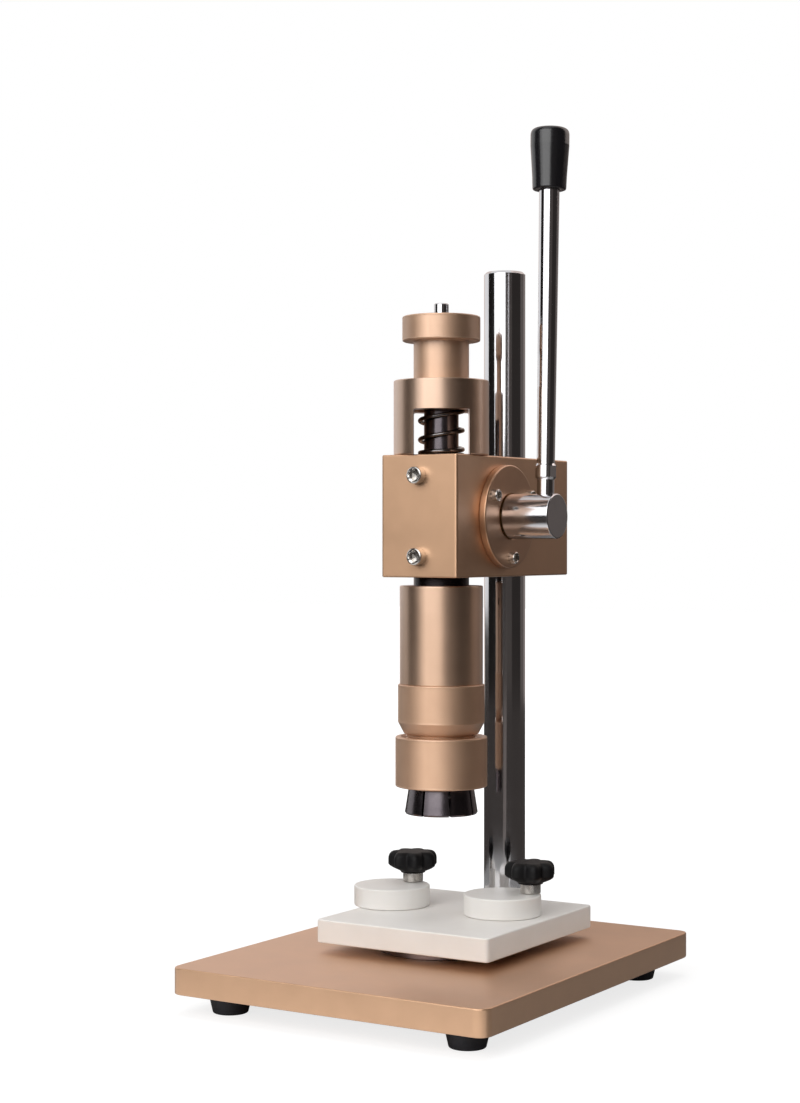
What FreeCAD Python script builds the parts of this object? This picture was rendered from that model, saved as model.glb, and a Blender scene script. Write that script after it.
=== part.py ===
"""Hand-operated bench crimper for perfume bottles: a rack-and-pinion press head on a polished column.

Millimetres. X points to the lever side, Y points back towards the column, and Z points up.
The origin lies on the bench, on the axis of the ram.
"""
import FreeCAD, Part
import math
import os

# Base
base_width = 200.0
base_depth = 250.0
base_thickness = 15.0
base_corner_radius = 8.0
base_edge_chamfer = 0.8
foot_height = 11.5
foot_top_radius = 12.0
foot_bottom_radius = 9.8
foot_inset = 24.0
foot_lip_height = 2.0
foot_web = 3.5
foot_screw_radius = 2.5
foot_screw_head_radius = 4.6
foot_screw_head_height = 2.6
foot_screw_grip = 8.0
deck = foot_height + base_thickness

# Column
column_y = 75.0
column_radius = 12.5
column_height = 398.0
column_chamfer = 1.5
column_seat_depth = 5.0
column_screw_radius = 5.0
column_screw_head_radius = 8.0
column_screw_head_height = 5.0
column_screw_grip = 22.0

# Bottle table
riser_radius = 36.0
riser_height = 5.0
riser_edge_chamfer = 0.5
table_width = 113.0
table_thickness = 13.5
table_front_reach = 45.5
table_behind_column = 5.5
table_corner_radius = 3.0
table_edge_chamfer = 0.8
table_notch_gap = 1.3
table_screw_radius = 2.5
table_screw_head_radius = 4.8
table_screw_x = 20.0
table_screw_grip = 8.0

# Bottle stops: eccentric discs held by star knobs
stud_side_margin = 16.5
stud_y = 34.0
stud_radius = 3.0
stud_grip = 9.0
stud_insert = 8.0
disc_radius = 22.5
disc_thickness = 12.0
disc_edge_chamfer = 1.0
eccentricity = 16.5
left_disc_angle = 252.0
right_disc_angle = 217.5
knob_hub_radius = 6.0
knob_hub_height = 5.4
star_radius = 15.0
star_waist_radius = 11.6
star_height = 12.8
star_edge_drop = 2.0
star_knuckle_radius = 13.7
star_lobes = 7
star_lobe_share = 0.48
star_skirt_radius = 8.5
star_skirt_height = 3.0

# Head block
block_width = 50.0
block_front = 25.0
block_back = 110.0
block_height = 70.0
block_lift = 214.4
block_chamfer = 0.8
clamp_slot = 2.0
clamp_screw_y = 98.5
clamp_screw_radius = 4.0
clamp_screw_spread = 20.0
clamp_screw_head_radius = 6.5
clamp_screw_head_height = 8.0
clamp_counterbore_radius = 7.0
clamp_counterbore_depth = 9.0
clamp_hole_wall = 5.0
guide_screw_radius = 3.0
guide_screw_head_radius = 5.0
guide_screw_head_height = 6.0
guide_screw_land = 1.0
guide_tip_radius = 2.0

# Ram, rack and pinion
ram_radius = 16.0
ram_show = 4.9
ram_bore_radius = 4.6
ram_rod_radius = 10.0
ram_spigot_radius = 12.0
ram_spigot_length = 23.5
gear_module = 2.0
gear_teeth = 17
gear_pressure_angle = 20.0
gear_backlash = 0.2
rack_pitch_y = 12.5
rack_clearance = 0.5
keyway_width = 4.6
keyway_depth = 3.3
stroke = 22.0
stroke_allowance = 0.5
shoulder_gap = 0.4

# Shaft, flange and lever
pinion_half_width = 13.0
left_journal_radius = 8.0
left_journal_length = 8.0
right_journal_radius = 10.0
left_bush_wall = 3.0
right_bush_wall = 3.0
pinion_tip_gap = 0.5
pinion_end_gap = 0.5
flange_radius = 30.0
flange_thickness = 4.5
flange_edge_chamfer = 0.8
flange_pitch_radius = 24.0
flange_screw_radius = 2.0
flange_screw_grip = 7.0
flange_screw_head_radius = 3.5
flange_screw_head_height = 4.0
flange_screw_count = 3
hub_radius = 13.0
hub_length = 30.0
hub_gap = 0.5
hub_nose_radius = 8.0
hub_nose_length = 13.0
hub_chamfer = 0.8
hub_screw_radius = 2.5
lever_x = 52.0
lever_seat_radius = 5.0
lever_seat_depth = 3.5
lever_boss_radius = 6.1
lever_boss_chamfer = 0.6
lever_neck_top = 21.5
lever_flats_top = 30.0
lever_flats_width = 9.6
lever_bottom_radius = 5.2
lever_top_radius = 6.0
lever_length = 224.0
lever_lean = 1.5
grip_length = 35.6
grip_bottom_radius = 9.75
grip_top_radius = 11.25
grip_straight_length = 10.0
grip_mouth_chamfer = 1.0
grip_crown_height = 4.0
grip_crown_step = 1.2
grip_socket_depth = 22.0

# Spring cage, return spring and stroke nut
cage_radius = 27.5
cage_height = 43.1
cage_ring_height = 17.3
cage_window_width = 32.0
cage_window_turn = 31.0
cage_edge_chamfer = 0.8
cage_spigot_radius = 19.0
cage_spigot_length = 8.0
upper_bush_radius = 14.0
lower_bush_wall = 3.0
lower_bush_length = 7.5
nut_sleeve_radius = 16.0
nut_sleeve_clearance = 0.5
nut_disc_radius = 22.5
nut_disc_thickness = 14.5
nut_cap_thickness = 4.0
nut_disc_chamfer = 1.0
nut_sleeve_length = 39.0
nut_thread_length = 21.0
nut_pocket_radius = 14.3
spring_wire_radius = 1.25
spring_mean_radius = 12.5
spring_pitch = 11.0
spring_facets = 6

# Crimping head
barrel_radius = 24.0
barrel_length = 56.8
barrel_bore_radius = 17.5
barrel_thread_radius = 20.5
barrel_thread_length = 15.0
barrel_edge_chamfer = 1.0
barrel_screw_radius = 2.5
barrel_shelf_gap = 1.0
band_radius = 25.0
band_height = 22.0
band_taper_height = 6.3
band_taper_radius = 21.5
band_bore_radius = 16.2
neck_length = 18.4
collar_radius = 26.5
collar_height = 28.9
collar_gap = 1.7
collar_mouth_radius = 19.05
collar_dish_radius = 23.5
collar_dish_depth = 3.0
collar_edge_chamfer = 1.0
collar_thread_gap = 0.2

# Jaws, pusher and stem
jaw_count = 8
jaw_slit = 1.4
jaw_drop = 15.6
jaw_throat_radius = 18.75
jaw_flare_radius = 21.0
jaw_lip_height = 1.0
jaw_lip_chamfer = 0.6
jaw_shoulder_radius = 18.0
jaw_shoulder_height = 4.2
jaw_finger_radius = 13.2
jaw_finger_taper = 3.5
jaw_bore_radius = 10.5
jaw_mouth_radius = 9.3
jaw_mouth_height = 3.8
jaw_mouth_lead = 1.2
jaw_bore_step = 1.5
jaw_heel_thickness = 3.0
jaw_heel_radius = 8.8
carrier_radius = 17.2
carrier_thickness = 8.0
carrier_boss_length = 9.2
carrier_flange_radius = 10.2
carrier_flange_thickness = 3.3
carrier_core_radius = 7.5
carrier_stud_radius = 4.0
carrier_stud_length = 8.0
pusher_radius = 8.0
pusher_length = 20.0
pusher_edge_chamfer = 0.8
pusher_dimple_radius = 5.0
pusher_dimple_depth = 1.5
core_length = 13.9
stem_radius = 4.3
stem_stub_height = 7.5
stem_chamfer = 0.6
jaw_spring_wire_radius = 1.5
jaw_spring_mean_radius = 13.2
jaw_spring_pitch = 13.0
jaw_spring_facets = 4
inner_ring_radius = 8.7
inner_ring_section = 1.2
inner_ring_lift = 5.0
outer_ring_radius = 14.6
outer_ring_section = 0.9
outer_ring_drop = 3.4
ring_facets = 6

# Clearances, all radial or face to face
seat_fit = 0.02
running_fit = 0.05
face_gap = 0.1
side_gap = 0.3
thread_fit = 0.03
hole_run_out = 1.0
set_screw_recess = 0.5
set_screw_tip_gap = 0.3

# Heights worked out from the sizes above
block_bottom = deck + block_lift
block_top = block_bottom + block_height
shaft_z = block_bottom + block_height / 2
guide_screw_spread = block_height / 2 - cage_spigot_length - guide_screw_land - guide_screw_radius
pitch_radius = gear_module * gear_teeth / 2
shaft_y = rack_pitch_y + pitch_radius
ram_top = block_top - cage_spigot_length - shoulder_gap
cage_top = block_top + cage_height
nut_disc_bottom = cage_top + stroke + stroke_allowance
nut_top = nut_disc_bottom + nut_disc_thickness
nut_bottom = nut_disc_bottom - nut_sleeve_length
nut_thread_top = nut_top - nut_cap_thickness
nut_pocket_top = nut_thread_top - nut_thread_length
barrel_top = block_bottom - ram_show
barrel_bottom = barrel_top - barrel_length
barrel_thread_bottom = barrel_bottom - barrel_thread_length
barrel_ceiling = barrel_top - ram_spigot_length - barrel_shelf_gap
band_bottom = barrel_bottom - band_height
taper_bottom = band_bottom - band_taper_height
neck_bottom = taper_bottom - neck_length
collar_top = taper_bottom - collar_gap
collar_bottom = collar_top - collar_height
jaw_bottom = collar_bottom - jaw_drop
carrier_bottom = barrel_thread_bottom + face_gap
carrier_top = carrier_bottom + carrier_thickness
jaw_top = carrier_bottom - carrier_boss_length - side_gap
heel_bottom = jaw_top - jaw_heel_thickness
flange_top = heel_bottom - side_gap
flange_bottom = flange_top - carrier_flange_thickness
core_bottom = flange_bottom - core_length
stem_top = nut_top + stem_stub_height
table_front_y = -table_front_reach
table_back_y = column_y + table_behind_column
table_bottom = deck + riser_height
table_top = table_bottom + table_thickness
stud_x = table_width / 2 - stud_side_margin
disc_bottom = table_top + face_gap
disc_top = disc_bottom + disc_thickness
hub_bottom = disc_top + side_gap
star_bottom = hub_bottom + knob_hub_height

os.makedirs("parts", exist_ok=True)

UP = FreeCAD.Vector(0, 0, 1)
RIGHT = FreeCAD.Vector(1, 0, 0)
BACK = FreeCAD.Vector(0, 1, 0)
LEFT = -RIGHT
FRONT = -BACK
OVERCUT = 1.0


def save(name, *shapes):
    """Write the solids of one sub-part to its own file."""
    solids = [solid for shape in shapes for solid in shape.Solids]
    shape = solids[0] if len(solids) == 1 else Part.makeCompound(solids)
    shape.exportStep("parts/" + name + ".step")


def point(x, y, z):
    """Make a place from its three coordinates."""
    return FreeCAD.Vector(x, y, z)


def rod(radius, length, start, direction=UP):
    """Make a round bar that leaves start along direction."""
    return Part.makeCylinder(radius, length, start, direction)


def box(low, high):
    """Make a block from its lowest to its highest corner."""
    size = high - low
    return Part.makeBox(size.x, size.y, size.z, low)


def lathe(profile, x=0.0, y=0.0):
    """Turn a closed (radius, height) outline about the upright axis through x, y."""
    corners = [point(x + radius, y, height) for radius, height in profile]
    wire = Part.makePolygon(corners + corners[:1])
    return Part.Face(wire).revolve(point(x, y, 0), UP, 360)


def union(shapes):
    """Fuse all shapes into one."""
    return shapes[0].multiFuse(shapes[1:]) if len(shapes) > 1 else shapes[0]


def upright_edges(shape):
    """Pick the straight edges that run along Z."""
    return [edge for edge in shape.Edges
            if len(edge.Vertexes) == 2
            and abs(edge.Vertexes[0].Z - edge.Vertexes[1].Z) > 1
            and abs(edge.Vertexes[0].X - edge.Vertexes[1].X) < 1e-6
            and abs(edge.Vertexes[0].Y - edge.Vertexes[1].Y) < 1e-6]


def plate(low, high, corner, chamfer):
    """A flat plate with rounded upright corners and chamfered rims."""
    slab = box(low, high)
    slab = slab.makeFillet(corner, upright_edges(slab))
    rims = [edge for edge in slab.Edges
            if abs(edge.BoundBox.ZMax - edge.BoundBox.ZMin) < 1e-6]
    return slab.makeChamfer(chamfer, rims)


def plain_screw(seat, direction, radius, grip, head_radius, head_height):
    """A screw whose head stands on its seat and whose shank runs along direction."""
    head = rod(head_radius, head_height, seat, -direction)
    return head.fuse(rod(radius, grip, seat, direction))


def socket_screw(seat, direction, radius, grip, head_radius, head_height):
    """A cap screw with a hexagon socket in its head."""
    outer = seat - direction * head_height
    across = direction.cross(UP)
    upward = direction.cross(across)
    corners = []
    for side in range(6):
        angle = math.radians(60 * side)
        corners.append(outer + (across * math.cos(angle) + upward * math.sin(angle)) * radius)
    hexagon = Part.Face(Part.makePolygon(corners + corners[:1]))
    socket = hexagon.extrude(direction * (head_height / 2))
    return plain_screw(seat, direction, radius, grip, head_radius, head_height).cut(socket)


def wire_section(wire_radius, mean_radius, height, facets):
    """The wire's section as a many-sided outline in the plane through the spring's axis."""
    corners = []
    for index in range(facets):
        angle = math.radians(360 * (index + 0.5) / facets)
        corners.append((mean_radius + wire_radius * math.cos(angle), height + wire_radius * math.sin(angle)))
    return corners


def ring(section_radius, mean_radius, height):
    """A closed ring of cord."""
    return lathe(wire_section(section_radius, mean_radius, height, ring_facets))


def coil(wire_radius, mean_radius, pitch, facets, bottom, top):
    """A compression spring with ends ground flat at two heights."""
    helix = Part.makeHelix(pitch, top - bottom, mean_radius)
    helix.translate(point(0, 0, bottom))
    corners = [point(radius, 0, height)
               for radius, height in wire_section(wire_radius, mean_radius, bottom, facets)]
    section = Part.makePolygon(corners + corners[:1])
    turns = Part.Wire(helix).makePipeShell([section], True, True)
    reach = mean_radius + 2 * wire_radius
    for low, high in ((bottom - 3 * wire_radius, bottom), (top, top + 3 * wire_radius)):
        turns = turns.cut(box(point(-reach, -reach, low), point(reach, reach, high)))
    return turns


def cut_each(shape, tools):
    """Cut every tool out of the shape, one after the other."""
    for tool in tools:
        shape = shape.cut(tool)
    return shape


# Base plate with its feet

def foot_places():
    """Where the four feet stand under the base's corners."""
    reach_x = base_width / 2 - foot_inset
    reach_y = base_depth / 2 - foot_inset
    return [(sx * reach_x, sy * reach_y) for sx in (-1, 1) for sy in (-1, 1)]


def make_base():
    """The base plate, bored for the column and for every screw that comes through it."""
    base = plate(point(-base_width / 2, -base_depth / 2, foot_height),
                 point(base_width / 2, base_depth / 2, deck), base_corner_radius, base_edge_chamfer)
    under_column = point(0, column_y, foot_height)
    holes = [rod(column_radius + seat_fit, column_seat_depth, point(0, column_y, deck - column_seat_depth)),
             rod(column_screw_radius + side_gap, base_thickness, under_column),
             rod(column_screw_head_radius + side_gap, column_screw_head_height, under_column)]
    for x, y in foot_places():
        holes.append(rod(foot_screw_radius + thread_fit, foot_screw_grip + hole_run_out,
                         point(x, y, foot_height)))
    for side in (-1, 1):
        x = side * table_screw_x
        holes.append(rod(table_screw_radius + side_gap, base_thickness, point(x, 0, foot_height)))
        holes.append(lathe(screw_cone(face_gap), x))
    save("base_plate", cut_each(base, holes))


def screw_cone(gap):
    """Outline of a countersunk screw's head, flush with the underside of the base."""
    top = foot_height + table_screw_head_radius - table_screw_radius
    return [(0, foot_height), (table_screw_head_radius + gap, foot_height),
            (table_screw_radius + gap, top), (0, top)]


def make_feet():
    """Rubber feet, each with its screw's head sunk in the hollow underneath."""
    feet = []
    screws = []
    hollow = foot_screw_head_radius + side_gap
    hole = foot_screw_radius + thread_fit
    hollow_top = foot_height - foot_web
    for x, y in foot_places():
        feet.append(lathe([(hole, foot_height), (foot_top_radius, foot_height),
                           (foot_top_radius, foot_height - foot_lip_height), (foot_bottom_radius, 0),
                           (hollow, 0), (hollow, hollow_top), (hole, hollow_top)], x, y))
        screws.append(plain_screw(point(x, y, hollow_top), UP, foot_screw_radius, foot_web + foot_screw_grip,
                                  foot_screw_head_radius, foot_screw_head_height))
    save("rubber_feet", *feet)
    save("foot_screws", *screws)


def make_column():
    """The column, seated in the base, and the screw that pulls it down."""
    top = deck + column_height
    bottom = deck - column_seat_depth
    column = lathe([(0, bottom), (column_radius - column_chamfer, bottom),
                    (column_radius, bottom + column_chamfer), (column_radius, top - column_chamfer),
                    (column_radius - column_chamfer, top), (0, top)], 0, column_y)
    tapped = rod(column_screw_radius + thread_fit, column_screw_grip, point(0, column_y, bottom))
    save("column", column.cut(tapped))
    seat = point(0, column_y, foot_height + column_screw_head_height)
    shank = bottom + column_screw_grip - hole_run_out - seat.z
    save("column_screw", plain_screw(seat, UP, column_screw_radius, shank,
                                     column_screw_head_radius, column_screw_head_height - face_gap))


def make_table():
    """The riser and the table on it, notched round the column, with the screws that hold both."""
    edge = riser_edge_chamfer
    riser = lathe([(0, deck), (riser_radius, deck), (riser_radius, table_bottom - edge),
                   (riser_radius - edge, table_bottom), (0, table_bottom)])
    table = plate(point(-table_width / 2, table_front_y, table_bottom),
                  point(table_width / 2, table_back_y, table_top),
                  table_corner_radius, table_edge_chamfer)
    notch_radius = column_radius + table_notch_gap
    notch = rod(notch_radius, table_thickness, point(0, column_y, table_bottom))
    notch = notch.fuse(box(point(-notch_radius, column_y, table_bottom),
                           point(notch_radius, table_back_y + OVERCUT, table_top)))
    table = table.cut(notch)
    screws = []
    for side in (-1, 1):
        x = side * table_screw_x
        clear = table_screw_radius + side_gap
        riser = riser.cut(rod(clear, riser_height, point(x, 0, deck)))
        table = table.cut(rod(table_screw_radius + thread_fit, table_screw_grip + hole_run_out,
                              point(x, 0, table_bottom)))
        stud_hole = stud_grip + hole_run_out
        table = table.cut(rod(stud_radius + running_fit, stud_hole,
                              point(side * stud_x, stud_y, table_top - stud_hole)))
        shank = rod(table_screw_radius, table_bottom + table_screw_grip - foot_height,
                    point(x, 0, foot_height))
        screws.append(lathe(screw_cone(0), x).fuse(shank))
    save("table_riser", riser)
    save("bottle_table", table)
    save("table_screws", *screws)


# Bottle stops

def make_disc(name, x, angle):
    """A bottle stop: a disc that turns about a stud well off its centre."""
    turn = math.radians(angle)
    centre_x = x + eccentricity * math.cos(turn)
    centre_y = stud_y + eccentricity * math.sin(turn)
    inner = disc_radius - disc_edge_chamfer
    disc = lathe([(0, disc_bottom), (inner, disc_bottom), (disc_radius, disc_bottom + disc_edge_chamfer),
                  (disc_radius, disc_top - disc_edge_chamfer), (inner, disc_top), (0, disc_top)],
                 centre_x, centre_y)
    bore = rod(stud_radius + running_fit, disc_thickness, point(x, stud_y, disc_bottom))
    save(name, disc.cut(bore))


def star_outline(x, y):
    """Lobes and waists as arcs, on a horizontal plane at the star's underside."""
    step = 2 * math.pi / star_lobes
    shoulder = step * star_lobe_share / 2

    def at(radius, angle):
        return point(x + radius * math.cos(angle), y + radius * math.sin(angle), star_bottom)

    edges = []
    for lobe in range(star_lobes):
        middle = lobe * step
        left = at(star_knuckle_radius, middle - shoulder)
        right = at(star_knuckle_radius, middle + shoulder)
        following = at(star_knuckle_radius, middle + step - shoulder)
        edges.append(Part.Arc(left, at(star_radius, middle), right).toShape())
        edges.append(Part.Arc(right, at(star_waist_radius, middle + step / 2), following).toShape())
    return Part.Wire(edges)


def make_star_knob(name, x):
    """A lobed knob with a softened crown and a round skirt under it, hollow for the stud."""
    top = star_bottom + star_height
    head_bottom = star_bottom + star_skirt_height
    star = Part.Face(star_outline(x, stud_y)).extrude(UP * star_height)
    crown = lathe([(0, star_bottom), (star_skirt_radius, star_bottom), (star_skirt_radius, head_bottom),
                   (star_radius, head_bottom), (star_radius, top - star_edge_drop),
                   (star_radius - star_edge_drop, top), (0, top)], x, stud_y)
    insert = rod(stud_radius + seat_fit, stud_insert, point(x, stud_y, star_bottom))
    save(name, star.common(crown).cut(insert))


def make_knob_stud(name, x):
    """The stud in the knob, with the plain hub that bears on the disc."""
    end = star_bottom + stud_insert
    low = table_top - stud_grip
    save(name, lathe([(0, low), (stud_radius, low), (stud_radius, hub_bottom), (knob_hub_radius, hub_bottom),
                      (knob_hub_radius, star_bottom), (stud_radius, star_bottom), (stud_radius, end),
                      (0, end)], x, stud_y))


# Head block and what is bolted to it

def flange_screw_points():
    """Where the flange's screws stand on its face."""
    places = []
    for index in range(flange_screw_count):
        angle = math.radians(30 + 360 / flange_screw_count * index)
        places.append((shaft_y + flange_pitch_radius * math.cos(angle),
                       shaft_z + flange_pitch_radius * math.sin(angle)))
    return places


def cross_bore_radius():
    """The bore across the block that the pinion turns in."""
    return pitch_radius + gear_module + pinion_tip_gap


def make_head_block():
    """The block with its ram bore, cross bore, clamp slot and screw holes."""
    right = block_width / 2
    block = box(point(-right, -block_front, block_bottom), point(right, block_back, block_top))
    block = block.makeChamfer(block_chamfer, block.Edges)
    bores = [
        rod(ram_radius + side_gap, block_height, point(0, 0, block_bottom)),
        rod(cage_spigot_radius + seat_fit, cage_spigot_length, point(0, 0, block_top - cage_spigot_length)),
        rod(ram_radius + lower_bush_wall + seat_fit, lower_bush_length, point(0, 0, block_bottom)),
        rod(cross_bore_radius(), right + pinion_half_width + side_gap,
            point(right, shaft_y, shaft_z), LEFT),
        rod(left_journal_radius + left_bush_wall + seat_fit, left_journal_length + side_gap,
            point(-pinion_half_width - side_gap, shaft_y, shaft_z), LEFT),
        rod(column_radius + running_fit, block_height, point(0, column_y, block_bottom)),
        box(point(-clamp_slot / 2, column_y, block_bottom),
            point(clamp_slot / 2, block_back, block_top)),
    ]
    for sign in (-1, 1):
        height = shaft_z + sign * clamp_screw_spread
        seat = point(-right, clamp_screw_y, height)
        bores.append(rod(clamp_counterbore_radius, clamp_counterbore_depth, seat, RIGHT))
        bores.append(rod(clamp_screw_radius + side_gap, right, seat, RIGHT))
        bores.append(rod(clamp_screw_radius + thread_fit, right - clamp_hole_wall,
                         point(0, clamp_screw_y, height), RIGHT))
        front = point(0, -block_front, shaft_z + sign * guide_screw_spread)
        bores.append(rod(guide_screw_radius + thread_fit, block_front, front, BACK))
    for y, z in flange_screw_points():
        bores.append(rod(flange_screw_radius + thread_fit, flange_screw_grip + hole_run_out,
                         point(right, y, z), LEFT))
    save("head_block", cut_each(block, bores))


def make_block_screws():
    """The screws that clamp the column and the two whose tips run in the ram's keyway."""
    right = block_width / 2
    clamps = []
    guides = []
    shank_end = -(ram_radius + side_gap)
    tip_end = -(ram_radius - keyway_depth) - side_gap
    clamp_grip = 2 * right - clamp_counterbore_depth - clamp_hole_wall - hole_run_out
    for sign in (-1, 1):
        seat = point(-right + clamp_counterbore_depth, clamp_screw_y, shaft_z + sign * clamp_screw_spread)
        clamps.append(socket_screw(seat, RIGHT, clamp_screw_radius, clamp_grip,
                                   clamp_screw_head_radius, clamp_screw_head_height))
        front = point(0, -block_front, shaft_z + sign * guide_screw_spread)
        shank = block_front + shank_end
        screw = socket_screw(front, BACK, guide_screw_radius, shank,
                             guide_screw_head_radius, guide_screw_head_height)
        tip = rod(guide_tip_radius, tip_end - shank_end, front + BACK * shank, BACK)
        guides.append(screw.fuse(tip))
    save("clamp_screws", *clamps)
    save("guide_screws", *guides)


def make_flange():
    """The bearing flange with its screws, and the bushes at both ends of the shaft."""
    inner = block_width / 2
    outer = inner + flange_thickness
    spigot = inner - pinion_half_width - pinion_end_gap
    centre = point(inner, shaft_y, shaft_z)
    disc = rod(flange_radius, flange_thickness, centre, RIGHT)
    rim = [edge for edge in disc.Edges if abs(edge.CenterOfMass.x - outer) < 1e-6]
    flange = disc.makeChamfer(flange_edge_chamfer, rim)
    flange = flange.fuse(rod(cross_bore_radius() - seat_fit, spigot, centre, LEFT))
    bush_outer = right_journal_radius + right_bush_wall
    whole = spigot + flange_thickness
    start = point(outer, shaft_y, shaft_z)
    flange = flange.cut(rod(bush_outer + seat_fit, whole, start, LEFT))
    screws = []
    for y, z in flange_screw_points():
        seat = point(outer, y, z)
        flange = flange.cut(rod(flange_screw_radius + side_gap, flange_thickness, seat, LEFT))
        screws.append(socket_screw(seat, LEFT, flange_screw_radius, flange_thickness + flange_screw_grip,
                                   flange_screw_head_radius, flange_screw_head_height))
    save("bearing_flange", flange)
    save("flange_screws", *screws)
    bush = rod(bush_outer, whole, start, LEFT)
    save("right_shaft_bush", bush.cut(rod(right_journal_radius + running_fit, whole, start, LEFT)))
    left_start = point(-pinion_half_width - side_gap, shaft_y, shaft_z)
    left = rod(left_journal_radius + left_bush_wall, left_journal_length, left_start, LEFT)
    save("left_shaft_bush", left.cut(rod(left_journal_radius + running_fit, left_journal_length,
                                         left_start, LEFT)))


def make_cage():
    """The windowed spring cage, seated in the block, and the ram's two guide bushes."""
    inner = nut_sleeve_radius + nut_sleeve_clearance
    low = block_top - cage_spigot_length
    edge = cage_edge_chamfer
    cage = lathe([(upper_bush_radius + seat_fit, low), (cage_spigot_radius, low),
                  (cage_spigot_radius, block_top), (cage_radius, block_top),
                  (cage_radius, cage_top - edge), (cage_radius - edge, cage_top), (inner, cage_top),
                  (inner, block_top), (upper_bush_radius + seat_fit, block_top)])
    half = cage_window_width / 2
    window = box(point(-half, -2 * cage_radius, block_top),
                 point(half, 2 * cage_radius, cage_top - cage_ring_height))
    window.rotate(point(0, 0, 0), UP, cage_window_turn)
    save("spring_cage", cage.cut(window))
    bush_outer = ram_radius + lower_bush_wall
    save("upper_guide_bush", lathe([(ram_rod_radius + running_fit, low), (upper_bush_radius, low),
                                    (upper_bush_radius, block_top),
                                    (ram_rod_radius + running_fit, block_top)]))
    save("lower_guide_bush", lathe([(ram_radius + running_fit, block_bottom),
                                    (bush_outer, block_bottom),
                                    (bush_outer, block_bottom + lower_bush_length),
                                    (ram_radius + running_fit, block_bottom + lower_bush_length)]))


def make_return_spring():
    """The spring that lifts the ram, between the block and the stroke nut."""
    save("return_spring", coil(spring_wire_radius, spring_mean_radius, spring_pitch, spring_facets,
                               block_top + face_gap, nut_pocket_top - face_gap))


# Shaft and lever

def involute_angle(radius):
    """How far an involute flank has turned at a radius."""
    base_radius = pitch_radius * math.cos(math.radians(gear_pressure_angle))
    if radius <= base_radius:
        return 0.0
    pressure = math.acos(base_radius / radius)
    return math.tan(pressure) - pressure


def pinion_face(x):
    """The toothed outline on a plane across the shaft, with one tooth pointing at the rack."""
    base_radius = pitch_radius * math.cos(math.radians(gear_pressure_angle))
    tip = pitch_radius + gear_module
    root = pitch_radius - 1.25 * gear_module
    half_tooth = math.pi / (2 * gear_teeth) + involute_angle(pitch_radius)
    steps = 2
    radii = [root] + [base_radius + (tip - base_radius) * step / steps for step in range(steps + 1)]
    corners = []
    for tooth in range(gear_teeth):
        middle = math.pi + 2 * math.pi * tooth / gear_teeth
        flank = [(radius, half_tooth - involute_angle(radius)) for radius in radii]
        for radius, spread in flank:
            corners.append((radius, middle - spread))
        for radius, spread in reversed(flank):
            corners.append((radius, middle + spread))
    places = [point(x, shaft_y + radius * math.cos(angle), shaft_z + radius * math.sin(angle))
              for radius, angle in corners]
    return Part.Face(Part.makePolygon(places + places[:1]))


def make_pinion_shaft():
    """The shaft with its pinion, its two journals and the nose for the hub."""
    gear = pinion_face(-pinion_half_width).extrude(RIGHT * (2 * pinion_half_width))
    left = rod(left_journal_radius, left_journal_length,
               point(-pinion_half_width, shaft_y, shaft_z), LEFT)
    hub_start = block_width / 2 + flange_thickness + hub_gap
    right = rod(right_journal_radius, hub_start - pinion_half_width,
                point(pinion_half_width, shaft_y, shaft_z), RIGHT)
    nose = rod(hub_nose_radius, hub_nose_length, point(hub_start, shaft_y, shaft_z), RIGHT)
    save("pinion_shaft", union([gear, left, right, nose]))


def make_hub():
    """The hub on the shaft's nose, bored across for the lever."""
    start = block_width / 2 + flange_thickness + hub_gap
    centre = point(start, shaft_y, shaft_z)
    hub = rod(hub_radius, hub_length, centre, RIGHT)
    hub = hub.makeChamfer(hub_chamfer, [edge for edge in hub.Edges if len(edge.Vertexes) == 1])
    hub = hub.cut(rod(hub_nose_radius + seat_fit, hub_nose_length + hole_run_out, centre, RIGHT))
    seat_bottom = point(lever_x, shaft_y, shaft_z - lever_seat_depth - side_gap)
    hub = hub.cut(lean_back(rod(lever_seat_radius + thread_fit, 2 * hub_radius, seat_bottom)))
    screw_x = start + hub_nose_length / 2
    screw_start = point(screw_x, shaft_y + hub_radius, shaft_z)
    hub = hub.cut(rod(hub_screw_radius + thread_fit, hub_radius, screw_start, FRONT))
    save("lever_hub", hub)
    save("hub_set_screw", set_screw(hub_screw_radius, hub_radius - hub_nose_radius, screw_start))


def set_screw(radius, wall, face):
    """A headless screw just inside the wall that it goes through, pointing to the front."""
    return rod(radius, wall - set_screw_recess - set_screw_tip_gap, face + FRONT * set_screw_recess, FRONT)


def lean_back(shape):
    """Tip a lever piece back about the shaft by the lever's lean at rest."""
    shape.rotate(point(lever_x, shaft_y, shaft_z), RIGHT, -lever_lean)
    return shape


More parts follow.
